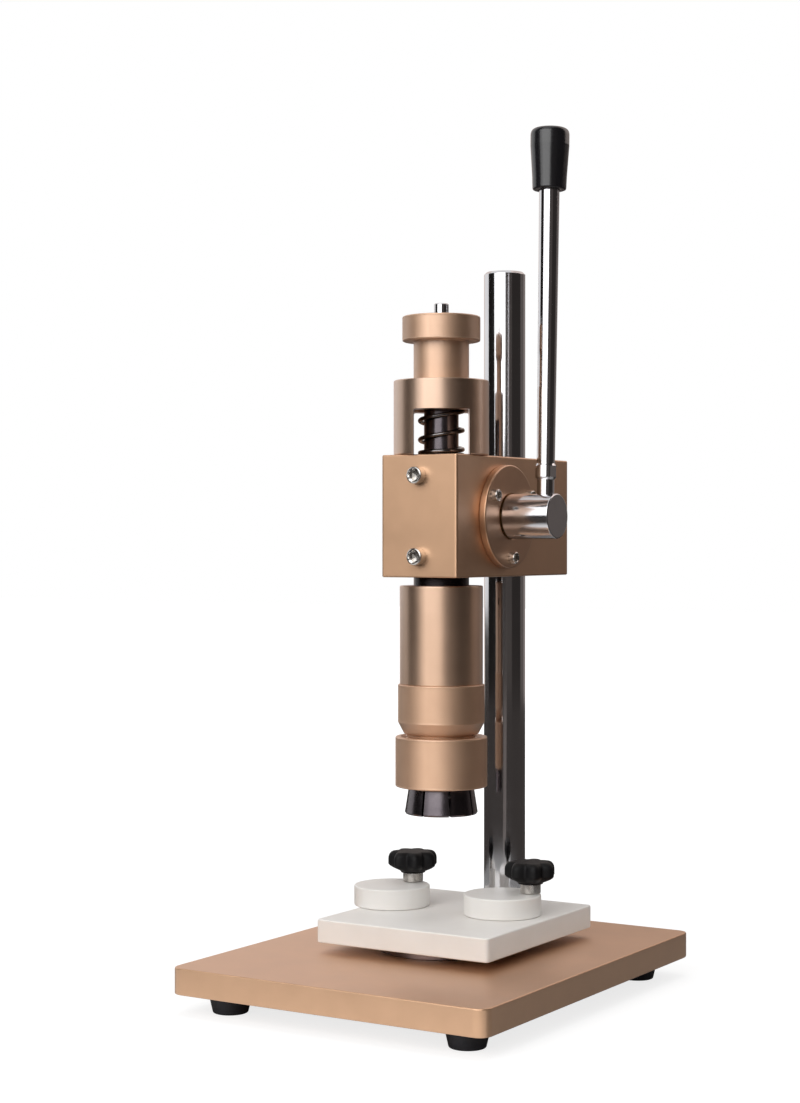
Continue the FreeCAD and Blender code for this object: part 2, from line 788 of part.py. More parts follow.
def make_lever():
    """The lever with its stepped foot and spanner flats, and the plastic grip on its top."""
    foot = shaft_z - lever_seat_depth
    boss_bottom = shaft_z + lever_neck_top
    boss_top = shaft_z + lever_flats_top
    tip = shaft_z + lever_length
    grip_bottom = tip - grip_length
    rod_end = grip_bottom + grip_socket_depth
    edge = lever_boss_chamfer
    lever = lathe([(0, foot), (lever_seat_radius, foot), (lever_seat_radius, boss_bottom),
                   (lever_boss_radius, boss_bottom + edge), (lever_boss_radius, boss_top - edge),
                   (lever_bottom_radius, boss_top), (lever_top_radius, rod_end), (0, rod_end)],
                  lever_x, shaft_y)
    half = lever_flats_width / 2
    reach = 2 * lever_boss_radius
    flat = box(point(half, -reach, boss_bottom + edge), point(reach, reach, boss_top - edge))
    for turn in (0, 180):
        side = flat.rotated(point(0, 0, 0), UP, turn)
        lever = lever.cut(side.translated(point(lever_x, shaft_y, 0)))
    save("lever_rod", lean_back(lever))
    step = grip_crown_step
    hollow = lever_top_radius + seat_fit
    hollow_top = rod_end + side_gap
    save("lever_grip", lean_back(lathe([
        (hollow, grip_bottom), (grip_bottom_radius - grip_mouth_chamfer, grip_bottom),
        (grip_bottom_radius, grip_bottom + grip_mouth_chamfer),
        (grip_top_radius, tip - grip_straight_length), (grip_top_radius, tip - grip_crown_height),
        (grip_top_radius - step, tip - step), (grip_top_radius - grip_crown_height, tip),
        (0, tip), (0, hollow_top), (hollow, hollow_top)], lever_x, shaft_y)))


# Ram and crimping head

def rack_gap(middle, root_y, tip_y):
    """The room between two rack teeth, as a bar across the ram."""
    slope = math.tan(math.radians(gear_pressure_angle))
    half_gap = math.pi * gear_module / 4 + gear_backlash / 2
    wide = half_gap + slope * (tip_y - rack_pitch_y)
    narrow = half_gap - slope * (rack_pitch_y - root_y)
    corners = [point(-ram_radius, root_y, middle - narrow), point(-ram_radius, root_y, middle + narrow),
               point(-ram_radius, tip_y, middle + wide), point(-ram_radius, tip_y, middle - wide)]
    return Part.Face(Part.makePolygon(corners + corners[:1])).extrude(RIGHT * (2 * ram_radius))


def make_ram():
    """The ram with its rack, keyway, spigot, upper rod and through bore."""
    spigot_bottom = barrel_top - ram_spigot_length
    body = lathe([(0, spigot_bottom), (ram_spigot_radius, spigot_bottom), (ram_spigot_radius, barrel_top),
                  (ram_radius, barrel_top), (ram_radius, ram_top), (0, ram_top)])
    tip_y = rack_pitch_y + gear_module
    root_y = shaft_y - pitch_radius - gear_module - rack_clearance
    tooth_pitch = math.pi * gear_module
    cuts = [box(point(-ram_radius, tip_y, shaft_z - cross_bore_radius()),
                point(ram_radius, ram_radius + OVERCUT, ram_top))]
    gaps_above = int((ram_top - shaft_z) / tooth_pitch) + 1
    for index in range(-1, gaps_above + 1):
        cuts.append(rack_gap(shaft_z + index * tooth_pitch, root_y, tip_y + OVERCUT))
    half = keyway_width / 2
    keyway_bottom = shaft_z - guide_screw_spread - keyway_width
    cuts.append(box(point(-half, -ram_radius - OVERCUT, keyway_bottom),
                    point(half, -(ram_radius - keyway_depth), ram_top)))
    body = cut_each(body, cuts)
    rod_top = nut_thread_top - side_gap
    upper = rod(ram_rod_radius, rod_top - ram_top, point(0, 0, ram_top))
    bore = rod(ram_bore_radius, rod_top - spigot_bottom, point(0, 0, spigot_bottom))
    save("ram", body.fuse(upper).cut(bore))


def make_barrel():
    """The barrel on the ram's spigot, with its set screw at the back."""
    bore = ram_spigot_radius + thread_fit
    edge = barrel_edge_chamfer
    barrel = lathe([(bore, barrel_top), (barrel_radius - edge, barrel_top),
                    (barrel_radius, barrel_top - edge), (barrel_radius, barrel_bottom),
                    (barrel_thread_radius, barrel_bottom), (barrel_thread_radius, barrel_thread_bottom),
                    (barrel_bore_radius, barrel_thread_bottom), (barrel_bore_radius, barrel_ceiling),
                    (bore, barrel_ceiling)])
    start = point(0, barrel_radius, barrel_top - ram_spigot_length / 2)
    barrel = barrel.cut(rod(barrel_screw_radius + thread_fit, barrel_radius, start, FRONT))
    save("barrel", barrel)
    save("barrel_set_screw", set_screw(barrel_screw_radius, barrel_radius - ram_spigot_radius, start))


def make_band():
    """The coupling band with its taper and the threaded neck below it."""
    bore = barrel_thread_radius + thread_fit
    save("coupling_band", lathe([
        (bore, barrel_bottom), (band_radius, barrel_bottom), (band_radius, band_bottom),
        (band_taper_radius, taper_bottom), (barrel_thread_radius, taper_bottom),
        (barrel_thread_radius, neck_bottom), (band_bore_radius, neck_bottom),
        (band_bore_radius, barrel_thread_bottom), (bore, barrel_thread_bottom)]))


def make_collar():
    """The closing collar, dished on top and open below for the jaws."""
    bore = barrel_thread_radius + thread_fit
    edge = collar_edge_chamfer
    ledge = neck_bottom - collar_thread_gap
    save("closing_collar", lathe([
        (bore, collar_top - collar_dish_depth), (collar_dish_radius, collar_top),
        (collar_radius - edge, collar_top), (collar_radius, collar_top - edge),
        (collar_radius, collar_bottom + edge), (collar_radius - edge, collar_bottom),
        (collar_mouth_radius, collar_bottom), (collar_mouth_radius, ledge), (bore, ledge)]))


def make_jaws():
    """The crimping jaws, one slit ring cut into hinged fingers."""
    shoulder_top = collar_bottom + jaw_shoulder_height
    ring = lathe([
        (jaw_flare_radius - jaw_lip_chamfer, jaw_bottom), (jaw_flare_radius, jaw_bottom + jaw_lip_height),
        (jaw_throat_radius, collar_bottom), (jaw_shoulder_radius, shoulder_top),
        (jaw_finger_radius, shoulder_top + jaw_finger_taper), (jaw_finger_radius, jaw_top),
        (jaw_heel_radius, jaw_top), (jaw_heel_radius, heel_bottom), (jaw_bore_radius, heel_bottom),
        (jaw_bore_radius, jaw_bottom + jaw_mouth_height + jaw_bore_step),
        (jaw_mouth_radius, jaw_bottom + jaw_mouth_height),
        (jaw_mouth_radius, jaw_bottom + jaw_mouth_lead), (jaw_mouth_radius + jaw_mouth_lead, jaw_bottom)])
    half = jaw_slit / 2
    reach = jaw_flare_radius + OVERCUT
    for index in range(jaw_count // 2):
        slit = box(point(-reach, -half, jaw_bottom), point(reach, half, jaw_top))
        slit.rotate(point(0, 0, 0), UP, index * 360 / jaw_count)
        ring = ring.cut(slit)
    pieces = sorted(ring.Solids, key=lambda jaw: math.atan2(jaw.CenterOfMass.y, jaw.CenterOfMass.x))
    for number, jaw in enumerate(pieces, 1):
        save("jaw_%d" % number, jaw)


def make_carrier():
    """The carrier that the jaws hang from, with the rings that open and keep them."""
    boss_bottom = jaw_top + side_gap
    groove_z = core_bottom + inner_ring_lift
    carrier = lathe([
        (stem_radius + thread_fit, carrier_top), (carrier_radius, carrier_top),
        (carrier_radius, carrier_bottom), (jaw_finger_radius, carrier_bottom),
        (jaw_finger_radius, boss_bottom), (jaw_heel_radius - side_gap, boss_bottom),
        (jaw_heel_radius - side_gap, flange_top), (carrier_flange_radius, flange_top),
        (carrier_flange_radius, flange_bottom), (carrier_core_radius, flange_bottom),
        (carrier_core_radius, core_bottom), (carrier_stud_radius, core_bottom),
        (carrier_stud_radius, core_bottom - carrier_stud_length),
        (0, core_bottom - carrier_stud_length), (0, carrier_bottom),
        (stem_radius + thread_fit, carrier_bottom)])
    save("jaw_carrier", carrier.cut(ring(inner_ring_section + seat_fit, inner_ring_radius, groove_z)))
    save("jaw_opening_ring", ring(inner_ring_section, inner_ring_radius, groove_z))
    save("jaw_keeper_ring", ring(outer_ring_section, outer_ring_radius,
                                  flange_bottom - outer_ring_drop))


def make_pusher():
    """The plastic pad that bears on the pump, screwed on the carrier's stud."""
    bottom = core_bottom - pusher_length
    bore = carrier_stud_radius + thread_fit
    bore_bottom = core_bottom - carrier_stud_length - hole_run_out
    edge = pusher_edge_chamfer
    dimple_top = bottom + pusher_dimple_depth
    save("pusher", lathe([
        (bore, core_bottom), (pusher_radius, core_bottom), (pusher_radius, bottom + edge),
        (pusher_radius - edge, bottom), (pusher_dimple_radius, bottom),
        (pusher_dimple_radius - pusher_dimple_depth, dimple_top), (0, dimple_top),
        (0, bore_bottom), (bore, bore_bottom)]))


def make_stem():
    """The stem that runs up through the ram."""
    save("stem", lathe([
        (0, carrier_bottom + seat_fit), (stem_radius, carrier_bottom + seat_fit),
        (stem_radius, stem_top - stem_chamfer), (stem_radius - stem_chamfer, stem_top), (0, stem_top)]))


def make_jaw_spring():
    """The spring that pushes the jaws down out of the barrel."""
    save("jaw_spring", coil(jaw_spring_wire_radius, jaw_spring_mean_radius, jaw_spring_pitch,
                            jaw_spring_facets, carrier_top + face_gap, barrel_ceiling - face_gap))


def make_stroke_nut():
    """The nut on the ram's rod that sets the stroke, with the pocket for the spring."""
    thread = ram_rod_radius + thread_fit
    edge = nut_disc_chamfer
    save("stroke_nut", lathe([
        (stem_radius + side_gap, nut_top), (nut_disc_radius - edge, nut_top),
        (nut_disc_radius, nut_top - edge), (nut_disc_radius, nut_disc_bottom + edge),
        (nut_disc_radius - edge, nut_disc_bottom), (nut_sleeve_radius, nut_disc_bottom),
        (nut_sleeve_radius, nut_bottom), (nut_pocket_radius, nut_bottom),
        (nut_pocket_radius, nut_pocket_top), (thread, nut_pocket_top), (thread, nut_thread_top),
        (stem_radius + side_gap, nut_thread_top)]))


make_base()
make_feet()
make_column()
make_table()
make_disc("left_stop_disc", -stud_x, left_disc_angle)
make_disc("right_stop_disc", stud_x, right_disc_angle)
make_star_knob("left_star_knob", -stud_x)
make_star_knob("right_star_knob", stud_x)
make_knob_stud("left_knob_stud", -stud_x)
make_knob_stud("right_knob_stud", stud_x)
make_head_block()
make_block_screws()
make_flange()
make_cage()
make_return_spring()
make_pinion_shaft()
make_hub()
make_lever()
make_ram()
make_barrel()
make_band()
make_collar()
make_jaws()
make_carrier()
make_pusher()
make_stem()
make_jaw_spring()
make_stroke_nut()
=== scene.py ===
"""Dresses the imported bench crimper: satin gold aluminium, hard chrome, white acetal and blackened steel.

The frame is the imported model's: X points to the lever, Y back to the column, Z up, in metres. Sizes in the
classes below are millimetres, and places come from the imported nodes.
"""
import logging
import math
from dataclasses import dataclass
from enum import Enum
from itertools import product
from typing import Callable, Dict, List, Optional, Sequence, Tuple, Union

import bmesh
import bpy
from mathutils import Matrix, Vector


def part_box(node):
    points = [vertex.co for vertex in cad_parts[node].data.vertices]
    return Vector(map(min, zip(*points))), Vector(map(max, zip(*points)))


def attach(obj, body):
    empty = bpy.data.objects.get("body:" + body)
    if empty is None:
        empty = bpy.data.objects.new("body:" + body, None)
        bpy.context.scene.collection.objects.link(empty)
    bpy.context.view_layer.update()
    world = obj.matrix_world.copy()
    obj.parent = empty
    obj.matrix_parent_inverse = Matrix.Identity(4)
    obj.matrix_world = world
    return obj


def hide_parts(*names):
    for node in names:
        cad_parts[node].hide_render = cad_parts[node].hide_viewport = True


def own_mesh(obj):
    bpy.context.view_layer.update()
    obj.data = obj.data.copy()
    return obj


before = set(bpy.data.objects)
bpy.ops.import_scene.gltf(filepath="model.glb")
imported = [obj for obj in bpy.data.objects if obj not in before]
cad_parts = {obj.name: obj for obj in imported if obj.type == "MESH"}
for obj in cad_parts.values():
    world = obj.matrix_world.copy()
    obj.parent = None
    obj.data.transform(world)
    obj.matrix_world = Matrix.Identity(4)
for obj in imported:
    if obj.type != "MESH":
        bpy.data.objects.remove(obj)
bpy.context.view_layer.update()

MM = 0.001
log = logging.getLogger("crimper")

Piece = bpy.types.Object
Radius = Union[float, Callable[[float], float]]
Station = Tuple[Radius, float]
Outline = List[Tuple[float, float]]

RIGHT = Vector((1, 0, 0))
BACK = Vector((0, 1, 0))
UP = Vector((0, 0, 1))
WHITE = (1.0, 1.0, 1.0, 1.0)


# Colour, node and object helpers

def linear(code: str) -> Tuple[float, float, float, float]:
    """Turn an sRGB hex colour to the linear values that shaders take.

    Args:
        code: Six hex digits, such as "C5A386".

    Returns:
        Linear red, green and blue, and an alpha of 1.
    """
    channels = []
    for start in (0, 2, 4):
        value = int(code[start:start + 2], 16) / 255
        channels.append(value / 12.92 if value <= 0.04045 else ((value + 0.055) / 1.055) ** 2.4)
    return (*channels, 1.0)


def add_node(tree: bpy.types.NodeTree, kind: str, inputs: Optional[Dict] = None, **settings) -> bpy.types.Node:
    """Add a shader node with its settings, values and links.

    Args:
        tree: The node tree that gets the node.
        kind: The node's type without its ShaderNode prefix.
        inputs: Values or output sockets, by the name or number of the input that takes them.
        **settings: Attributes of the node itself.

    Returns:
        The new node.
    """
    node = tree.nodes.new("ShaderNode" + kind)
    for key, value in settings.items():
        setattr(node, key, value)
    for key, value in (inputs or {}).items():
        if isinstance(value, bpy.types.NodeSocket):
            tree.links.new(value, node.inputs[key])
        else:
            node.inputs[key].default_value = value
    return node


def empty_tree(owner: Union[bpy.types.Material, bpy.types.World]) -> bpy.types.NodeTree:
    """Give a material or a world an empty node tree."""
    owner.use_nodes = True
    owner.node_tree.nodes.clear()
    return owner.node_tree


def bring_in(name: str, data: bpy.types.ID) -> Piece:
    """Make an object of a mesh, a lamp or a camera, and put it in the scene."""
    piece = bpy.data.objects.new(name, data)
    bpy.context.scene.collection.objects.link(piece)
    return piece


# Finishes

class Slot(Enum):
    """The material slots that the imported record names."""

    ANODISED_GOLD = "anodised_gold"
    BLASTED_GOLD = "blasted_gold"
    POLISHED_CHROME = "polished_chrome"
    BRIGHT_STEEL = "bright_steel"
    BLACKENED_STEEL = "blackened_steel"
    SPRING_STEEL = "spring_steel"
    BRONZE = "bronze"
    WHITE_ACETAL = "white_acetal"
    BLACK_PLASTIC = "black_plastic"
    BLACK_RUBBER = "black_rubber"


class Marks(Enum):
    """The marks that a surface keeps from how it was made, as how far they run along X, Y and Z."""

    GRAIN = (1.0, 1.0, 1.0)
    RINGS_ROUND_Z = (0.02, 0.02, 1.0)
    RINGS_ROUND_X = (1.0, 0.02, 0.02)
    STREAKS_ALONG_Y = (1.0, 0.03, 1.0)

    @property
    def axis(self) -> str:
        """The axis that the rings run round."""
        return "X" if self is Marks.RINGS_ROUND_X else "Z"


# Noise stays near its middle, so these parts of its range run from dark to light: of one noise, and of two
CLOUD_RANGE = (0.3, 0.7)
GLOSS_RANGE = (0.6, 1.4)
# How far red, green and blue light spread in acetal, beside each other and at most
ACETAL_SPREAD = (1.0, 0.9, 0.8)
ACETAL_DEPTH = 2.0
# Turns the stretched highlight of a turned surface across its rings
QUARTER_TURN = 0.25


@dataclass(frozen=True)
class Finish:
    """One real finish: its colour, how it reflects, and the marks of its making.

    The marks' pitch is a size in millimetres, and grain that is finer than a render shows is drawn as coarse as
    it needs to be. Their relief is the height that the bump draws. Clouds are the faint patches of tone and
    gloss that any real surface has, with their own size. The coat is a clear layer on the surface. Anisotropy
    is how much more a turned surface spreads light across its rings than along them.
    """

    name: str
    slot: Slot
    colour: str
    cloud_colour: str
    marks: Marks
    roughness: float
    spread: float
    pitch: float
    relief: float
    metallic: float = 1.0
    cloud_size: float = 18.0
    ior: float = 1.5
    coat: float = 0.0
    coat_roughness: float = 0.2
    coat_ior: float = 1.5
    anisotropy: float = 0.0
    subsurface: float = 0.0

    def build(self) -> bpy.types.Material:
        """Make the material, or return it if it is there already.

        Returns:
            The material, with its colour, gloss and relief from nodes.
        """
        found = bpy.data.materials.get(self.name)
        if found:
            return found
        material = bpy.data.materials.new(self.name)
        tree = empty_tree(material)
        place = add_node(tree, "TexCoord").outputs["Object"]
        clouds = add_node(tree, "TexNoise", {"Vector": place, "Scale": 1 / (self.cloud_size * MM),
                                             "Detail": 3.0, "Roughness": 0.55}).outputs["Fac"]
        tone = add_node(tree, "ValToRGB", {"Fac": clouds})
        stops = zip(tone.color_ramp.elements, CLOUD_RANGE, (self.cloud_colour, self.colour))
        for stop, position, code in stops:
            stop.position = position
            stop.color = linear(code)
        stretched = add_node(tree, "Mapping", {"Vector": place, "Scale": self.marks.value})
        marks = add_node(tree, "TexNoise", {"Vector": stretched.outputs["Vector"],
                                            "Scale": 1 / (self.pitch * MM), "Detail": 2.0}).outputs["Fac"]
        gloss = add_node(tree, "Math", {0: marks, 1: clouds}, operation="ADD")
        rough = add_node(tree, "MapRange", {
            "Value": gloss.outputs["Value"], "From Min": GLOSS_RANGE[0], "From Max": GLOSS_RANGE[1],
            "To Min": self.roughness - self.spread, "To Max": self.roughness + self.spread})
        relief = add_node(tree, "Bump", {"Height": marks, "Strength": 1.0, "Distance": self.relief * MM})
        shader = add_node(tree, "BsdfPrincipled", {
            "Base Color": tone.outputs["Color"], "Roughness": rough.outputs["Result"],
            "Normal": relief.outputs["Normal"], "Metallic": self.metallic, "IOR": self.ior,
            "Coat Weight": self.coat, "Coat Roughness": self.coat_roughness, "Coat IOR": self.coat_ior,
            "Subsurface Weight": self.subsurface})
        if self.anisotropy:
            rings = add_node(tree, "Tangent", direction_type="RADIAL", axis=self.marks.axis)
            tree.links.new(rings.outputs["Tangent"], shader.inputs["Tangent"])
            shader.inputs["Anisotropic"].default_value = self.anisotropy
            shader.inputs["Anisotropic Rotation"].default_value = QUARTER_TURN
        if self.subsurface:
            shader.inputs["Subsurface Radius"].default_value = ACETAL_SPREAD
            shader.inputs["Subsurface Scale"].default_value = ACETAL_DEPTH * MM
        add_node(tree, "OutputMaterial", {"Surface": shader.outputs["BSDF"]})
        return material


# The clear layer that anodising grows is aluminium oxide, whose white glint pales the gold where light falls
OXIDE_IOR = 1.77
# Aluminium, milled, bead blasted fine and anodised champagne gold: an even satin sheen with no line in it
BLASTED_ALUMINIUM = Finish(
    "blasted_anodised_aluminium", Slot.BLASTED_GOLD, "D3A883", "CDA27D", Marks.GRAIN, roughness=0.46,
    spread=0.03, pitch=0.35, relief=0.004, coat=0.8, coat_roughness=0.4, coat_ior=OXIDE_IOR)
# The same anodising on turned bars: a smoother sheen, with the tool's faint rings
TURNED_ALUMINIUM = Finish(
    "turned_anodised_aluminium", Slot.ANODISED_GOLD, "D5B297", "CFAC91", Marks.RINGS_ROUND_Z, roughness=0.44,
    spread=0.02, pitch=0.3, relief=0.0007, coat=1.0, coat_roughness=0.28, coat_ior=OXIDE_IOR, anisotropy=0.8)
# The same on a faced disc whose axis lies across the press
FACED_ALUMINIUM = Finish(
    "faced_anodised_aluminium", Slot.ANODISED_GOLD, "CB9E7A", "C49672", Marks.RINGS_ROUND_X, roughness=0.38,
    spread=0.02, pitch=0.3, relief=0.0007, coat=0.8, coat_roughness=0.3, coat_ior=OXIDE_IOR)
# Diamond knurling blurs the sheen, so gripped parts look matter than plain ones
KNURLED_ALUMINIUM = Finish(
    "knurled_anodised_aluminium", Slot.ANODISED_GOLD, "D4AF90", "CEA788", Marks.RINGS_ROUND_Z, roughness=0.58,
    spread=0.03, pitch=0.3, relief=0.002, coat=1.0, coat_roughness=0.42, coat_ior=OXIDE_IOR, anisotropy=0.3)
# Induction-hardened bar, ground and hard chromed: a mirror with hair-fine grinding rings
HARD_CHROME = Finish(
    "hard_chromed_steel", Slot.POLISHED_CHROME, "D9D8DA", "CFCED1", Marks.RINGS_ROUND_Z, roughness=0.10,
    spread=0.02, pitch=0.4, relief=0.0004, cloud_size=40.0)
# Steel polished and chromed across its length, for the hub: a softer mirror than the ground bar's
POLISHED_CHROME = Finish(
    "polished_chromed_steel", Slot.POLISHED_CHROME, "D2D0D2", "C6C4C7", Marks.RINGS_ROUND_X, roughness=0.15,
    spread=0.02, pitch=0.4, relief=0.0006, cloud_size=25.0)
# Zinc-plated steel fasteners: bright but slightly milky
ZINC_PLATE = Finish(
    "zinc_plated_steel", Slot.BRIGHT_STEEL, "CFCBC6", "BDB8B2", Marks.GRAIN, roughness=0.22, spread=0.05,
    pitch=0.5, relief=0.003, cloud_size=3.0)
# Hardened steel, ground and black-oxidised: nearly black, with a soft oily sheen
BLACK_OXIDE = Finish(
    "black_oxide_steel", Slot.BLACKENED_STEEL, "6A6367", "585156", Marks.RINGS_ROUND_Z, roughness=0.24,
    spread=0.04, pitch=0.5, relief=0.002, cloud_size=8.0, coat=0.4)
# Polished steel, nearly black and darker than the black oxide: the ram where it slides in the block
NEAR_BLACK_STEEL = Finish(
    "near_black_ram_steel", Slot.BLACKENED_STEEL, "3A3637", "302D2E", Marks.RINGS_ROUND_Z, roughness=0.26,
    spread=0.03, pitch=0.4, relief=0.0006, cloud_size=20.0)
# Oil-tempered spring wire: dark grey, drawn smooth
SPRING_WIRE = Finish(
    "oil_tempered_spring_wire", Slot.SPRING_STEEL, "7A7676", "625E5E", Marks.GRAIN, roughness=0.2,
    spread=0.04, pitch=0.6, relief=0.002, cloud_size=4.0, coat=0.3)
# Sintered bronze bushes: brown gold and grainy
SINTERED_BRONZE = Finish(
    "sintered_bronze", Slot.BRONZE, "B08A57", "9A7647", Marks.GRAIN, roughness=0.38, spread=0.05, pitch=0.4,
    relief=0.01)
# Machined acetal sheet: white and slightly waxy, with faint cutter streaks
ACETAL = Finish(
    "machined_acetal", Slot.WHITE_ACETAL, "F1EEEA", "ECE8E3", Marks.STREAKS_ALONG_Y, roughness=0.42,
    spread=0.04, pitch=0.8, relief=0.004, metallic=0.0, cloud_size=30.0, ior=1.48, subsurface=0.12)
# Moulded phenolic: jet black and glossy from the polished mould, on the lever's grip
PHENOLIC = Finish(
    "moulded_phenolic", Slot.BLACK_PLASTIC, "141316", "1A191C", Marks.GRAIN, roughness=0.20, spread=0.04,
    pitch=0.9, relief=0.004, metallic=0.0, cloud_size=10.0, ior=1.6)
# Glass-filled nylon from an eroded mould: a dead black that swallows highlights, on the star knobs
NYLON = Finish(
    "glass_filled_nylon", Slot.BLACK_PLASTIC, "070608", "0B0A0C", Marks.GRAIN, roughness=0.55, spread=0.06,
    pitch=0.6, relief=0.008, metallic=0.0, cloud_size=8.0, ior=1.3)
# Moulded nitrile rubber: matt black with a fine dusty grain
RUBBER = Finish(
    "moulded_rubber", Slot.BLACK_RUBBER, "1C1B20", "24232A", Marks.GRAIN, roughness=0.62, spread=0.08,
    pitch=0.5, relief=0.02, metallic=0.0, cloud_size=6.0, ior=1.52)


# Mesh helpers: outlines and stations in millimetres

# Points round a large piece
FINE = 144
# How far a cutter reaches past the face that it opens
PAST = 1.0
# Smaller than any size here, so that a radius below it is a point on the axis
TINY = 1e-6


@dataclass(frozen=True)
class Extent:
    """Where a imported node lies, in millimetres."""

    low: Vector
    high: Vector

    @classmethod
    def of(cls, node: str) -> "Extent":
        """Read a node's box from the frame."""
        low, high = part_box(node)
        return cls(low / MM, high / MM)

    @property
    def centre(self) -> Vector:
        """The middle of the box."""
        return (self.low + self.high) / 2

    @property
    def size(self) -> Vector:
        """The box's length along each axis."""
        return self.high - self.low

    @property
    def radius(self) -> float:
        """Half the box's width, which is a round node's radius."""
        return self.size.x / 2

    @property
    def axis(self) -> Matrix:
        """The upright axis through the middle, with heights as in the frame."""
        return Matrix.Translation((self.centre.x, self.centre.y, 0))


def facing(origin: Vector, direction: Vector) -> Matrix:
    """Place a turned piece so that its axis leaves origin along direction."""
    return Matrix.Translation(origin) @ direction.to_track_quat("Z", "Y").to_matrix().to_4x4()


def skin(name: str, sections: Sequence[Sequence[Vector]], ring: bool = False) -> Piece:
    """Join outlines into one closed surface.

    Args:
        name: The new object's name.
        sections: Outlines with the same number of points, or one point where the surface closes in a tip.
        ring: Whether the last outline joins the first, as in a tube's wall. If not, both ends get a face.

    Returns:
        The new object, in metres.
    """
    points: List[Vector] = []
    starts: List[int] = []
    for section in sections:
        starts.append(len(points))
        points.extend(section)
    faces = []
    last = len(sections) - 1
    pairs = [(index, index + 1) for index in range(last)] + ([(last, 0)] if ring else [])
    for lower, upper in pairs:
        count = max(len(sections[lower]), len(sections[upper]))
        for index in range(count):
            following = (index + 1) % count
            corners = [starts[lower] + index % len(sections[lower]),
                       starts[lower] + following % len(sections[lower]),
                       starts[upper] + following % len(sections[upper]),
                       starts[upper] + index % len(sections[upper])]
            faces.append(list(dict.fromkeys(corners)))
    for end in () if ring else (0, last):
        if len(sections[end]) > 1:
            faces.append([starts[end] + index for index in range(len(sections[end]))])
    mesh = bpy.data.meshes.new(name)
    mesh.from_pydata([point * MM for point in points], [], faces)
    shell = bmesh.new()
    shell.from_mesh(mesh)
    bmesh.ops.recalc_face_normals(shell, faces=shell.faces)
    shell.to_mesh(mesh)
    shell.free()
    return bring_in(name, mesh)


def softened(corners: Sequence[Tuple[float, float]], radius: float, loop: bool = False,
             steps: int = 3) -> Outline:
    """Round the corners of an outline.

    Args:
        corners: The outline's points.
        radius: How far each corner is rounded, at most 0.45 of its shorter side.
        loop: Whether the outline closes on itself. If not, its two ends stay as they are.
        steps: Pieces in each rounded corner.

    Returns:
        The outline with its rounded corners.
    """
    rounded: Outline = []
    for index, corner in enumerate(corners):
        if not loop and index in (0, len(corners) - 1):
            rounded.append(corner)
            continue
        here = Vector(corner)
        before = Vector(corners[index - 1]) - here
        after = Vector(corners[(index + 1) % len(corners)]) - here
        opening = before.angle(after)
        reach = min(radius / math.tan(opening / 2), 0.45 * before.length, 0.45 * after.length)
        start = here + before.normalized() * reach
        end = here + after.normalized() * reach
        for step in range(steps + 1):
            share = step / steps
            bent = start * (1 - share) ** 2 + here * (2 * share * (1 - share)) + end * share ** 2
            rounded.append((bent.x, bent.y))
    return rounded


def bar(low: float, high: float, radius: float, edge: float, chamfer: float = 0.0, steps: int = 3) -> Outline:
    """Draw half the section of a solid bar.

    Args:
        low: Height of its foot.
        high: Height of its top.
        radius: Its radius.
        edge: Rounding of its corners.
        chamfer: Width of the chamfer round its top, or 0 for none.
        steps: Pieces in each rounded corner.

    Returns:
        The section, from the axis at the foot to the axis at the top.
    """
    top = [(radius, high - chamfer), (radius - chamfer, high)] if chamfer else [(radius, high)]
    return softened([(0, low), (radius, low), *top, (0, high)], edge, steps=steps)


def sleeve(low: float, high: float, bore: float, radius: float, edge: float) -> Outline:
    """Draw half the section of a ring with rounded corners."""
    return softened([(bore, low), (radius, low), (radius, high), (bore, high)], edge, loop=True, steps=4)


def turned(name: str, stations: Sequence[Station], place: Matrix = Matrix(), segments: int = 96,
           ring: bool = False) -> Piece:
    """Make a piece that is round about its own axis, or nearly so.

    Args:
        name: The new object's name.
        stations: A radius, or a function from angle to radius, and its height along the axis.
        place: Where the axis starts and points.
        segments: Points round each outline.
        ring: Whether the stations close on themselves, as round a through bore.

    Returns:
        The new object.
    """
    angles = [2 * math.pi * index / segments for index in range(segments)]
    sections = []
    for radius, height in stations:
        if not callable(radius) and radius < TINY:
            sections.append([place @ Vector((0, 0, height))])
            continue
        reaches = [radius(angle) if callable(radius) else radius for angle in angles]
        sections.append([place @ Vector((reach * math.cos(angle), reach * math.sin(angle), height))
                         for reach, angle in zip(reaches, angles)])
    return skin(name, sections, ring)


def inset(outline: Outline, distance: float) -> Outline:
    """Move a counterclockwise outline inwards, each point square to its two sides.

    Args:
        outline: The outline's points.
        distance: How far its sides move.

    Returns:
        The smaller outline.
    """
    moved = []
    for index, corner in enumerate(outline):
        here = Vector(corner)
        before = (here - Vector(outline[index - 1])).normalized()
        after = (Vector(outline[(index + 1) % len(outline)]) - here).normalized()
        inward = Vector((-(before.y + after.y), before.x + after.x)).normalized()
        square = max(0.3, inward.dot(Vector((-before.y, before.x))))
        moved.append(tuple(here + inward * (distance / square)))
    return moved


def plate(name: str, outline: Outline, low: float, high: float, edge: float, place: Matrix = Matrix(),
          steps: int = 4) -> Piece:
    """Make a plate of any outline.

    Args:
        name: The new object's name.
        outline: Counterclockwise points.
        low: Height of the lower face.
        high: Height of the upper face.
        edge: Rounding of both rims, or 0 for sharp ones.
        place: Where the plate's own frame lies.
        steps: Pieces in each rounded rim.

    Returns:
        The new object.
    """
    turns = [math.pi / 2 * step / steps for step in range(steps + 1)]
    lower = [(edge * (1 - math.sin(turn)), low + edge * (1 - math.cos(turn))) for turn in turns]
    upper = [(edge * (1 - math.cos(turn)), high - edge * (1 - math.sin(turn))) for turn in turns]
    levels = lower + upper if edge else [(0, low), (0, high)]
    sections = [[place @ Vector((x, y, height)) for x, y in inset(outline, distance)]
                for distance, height in levels]
    return skin(name, sections)


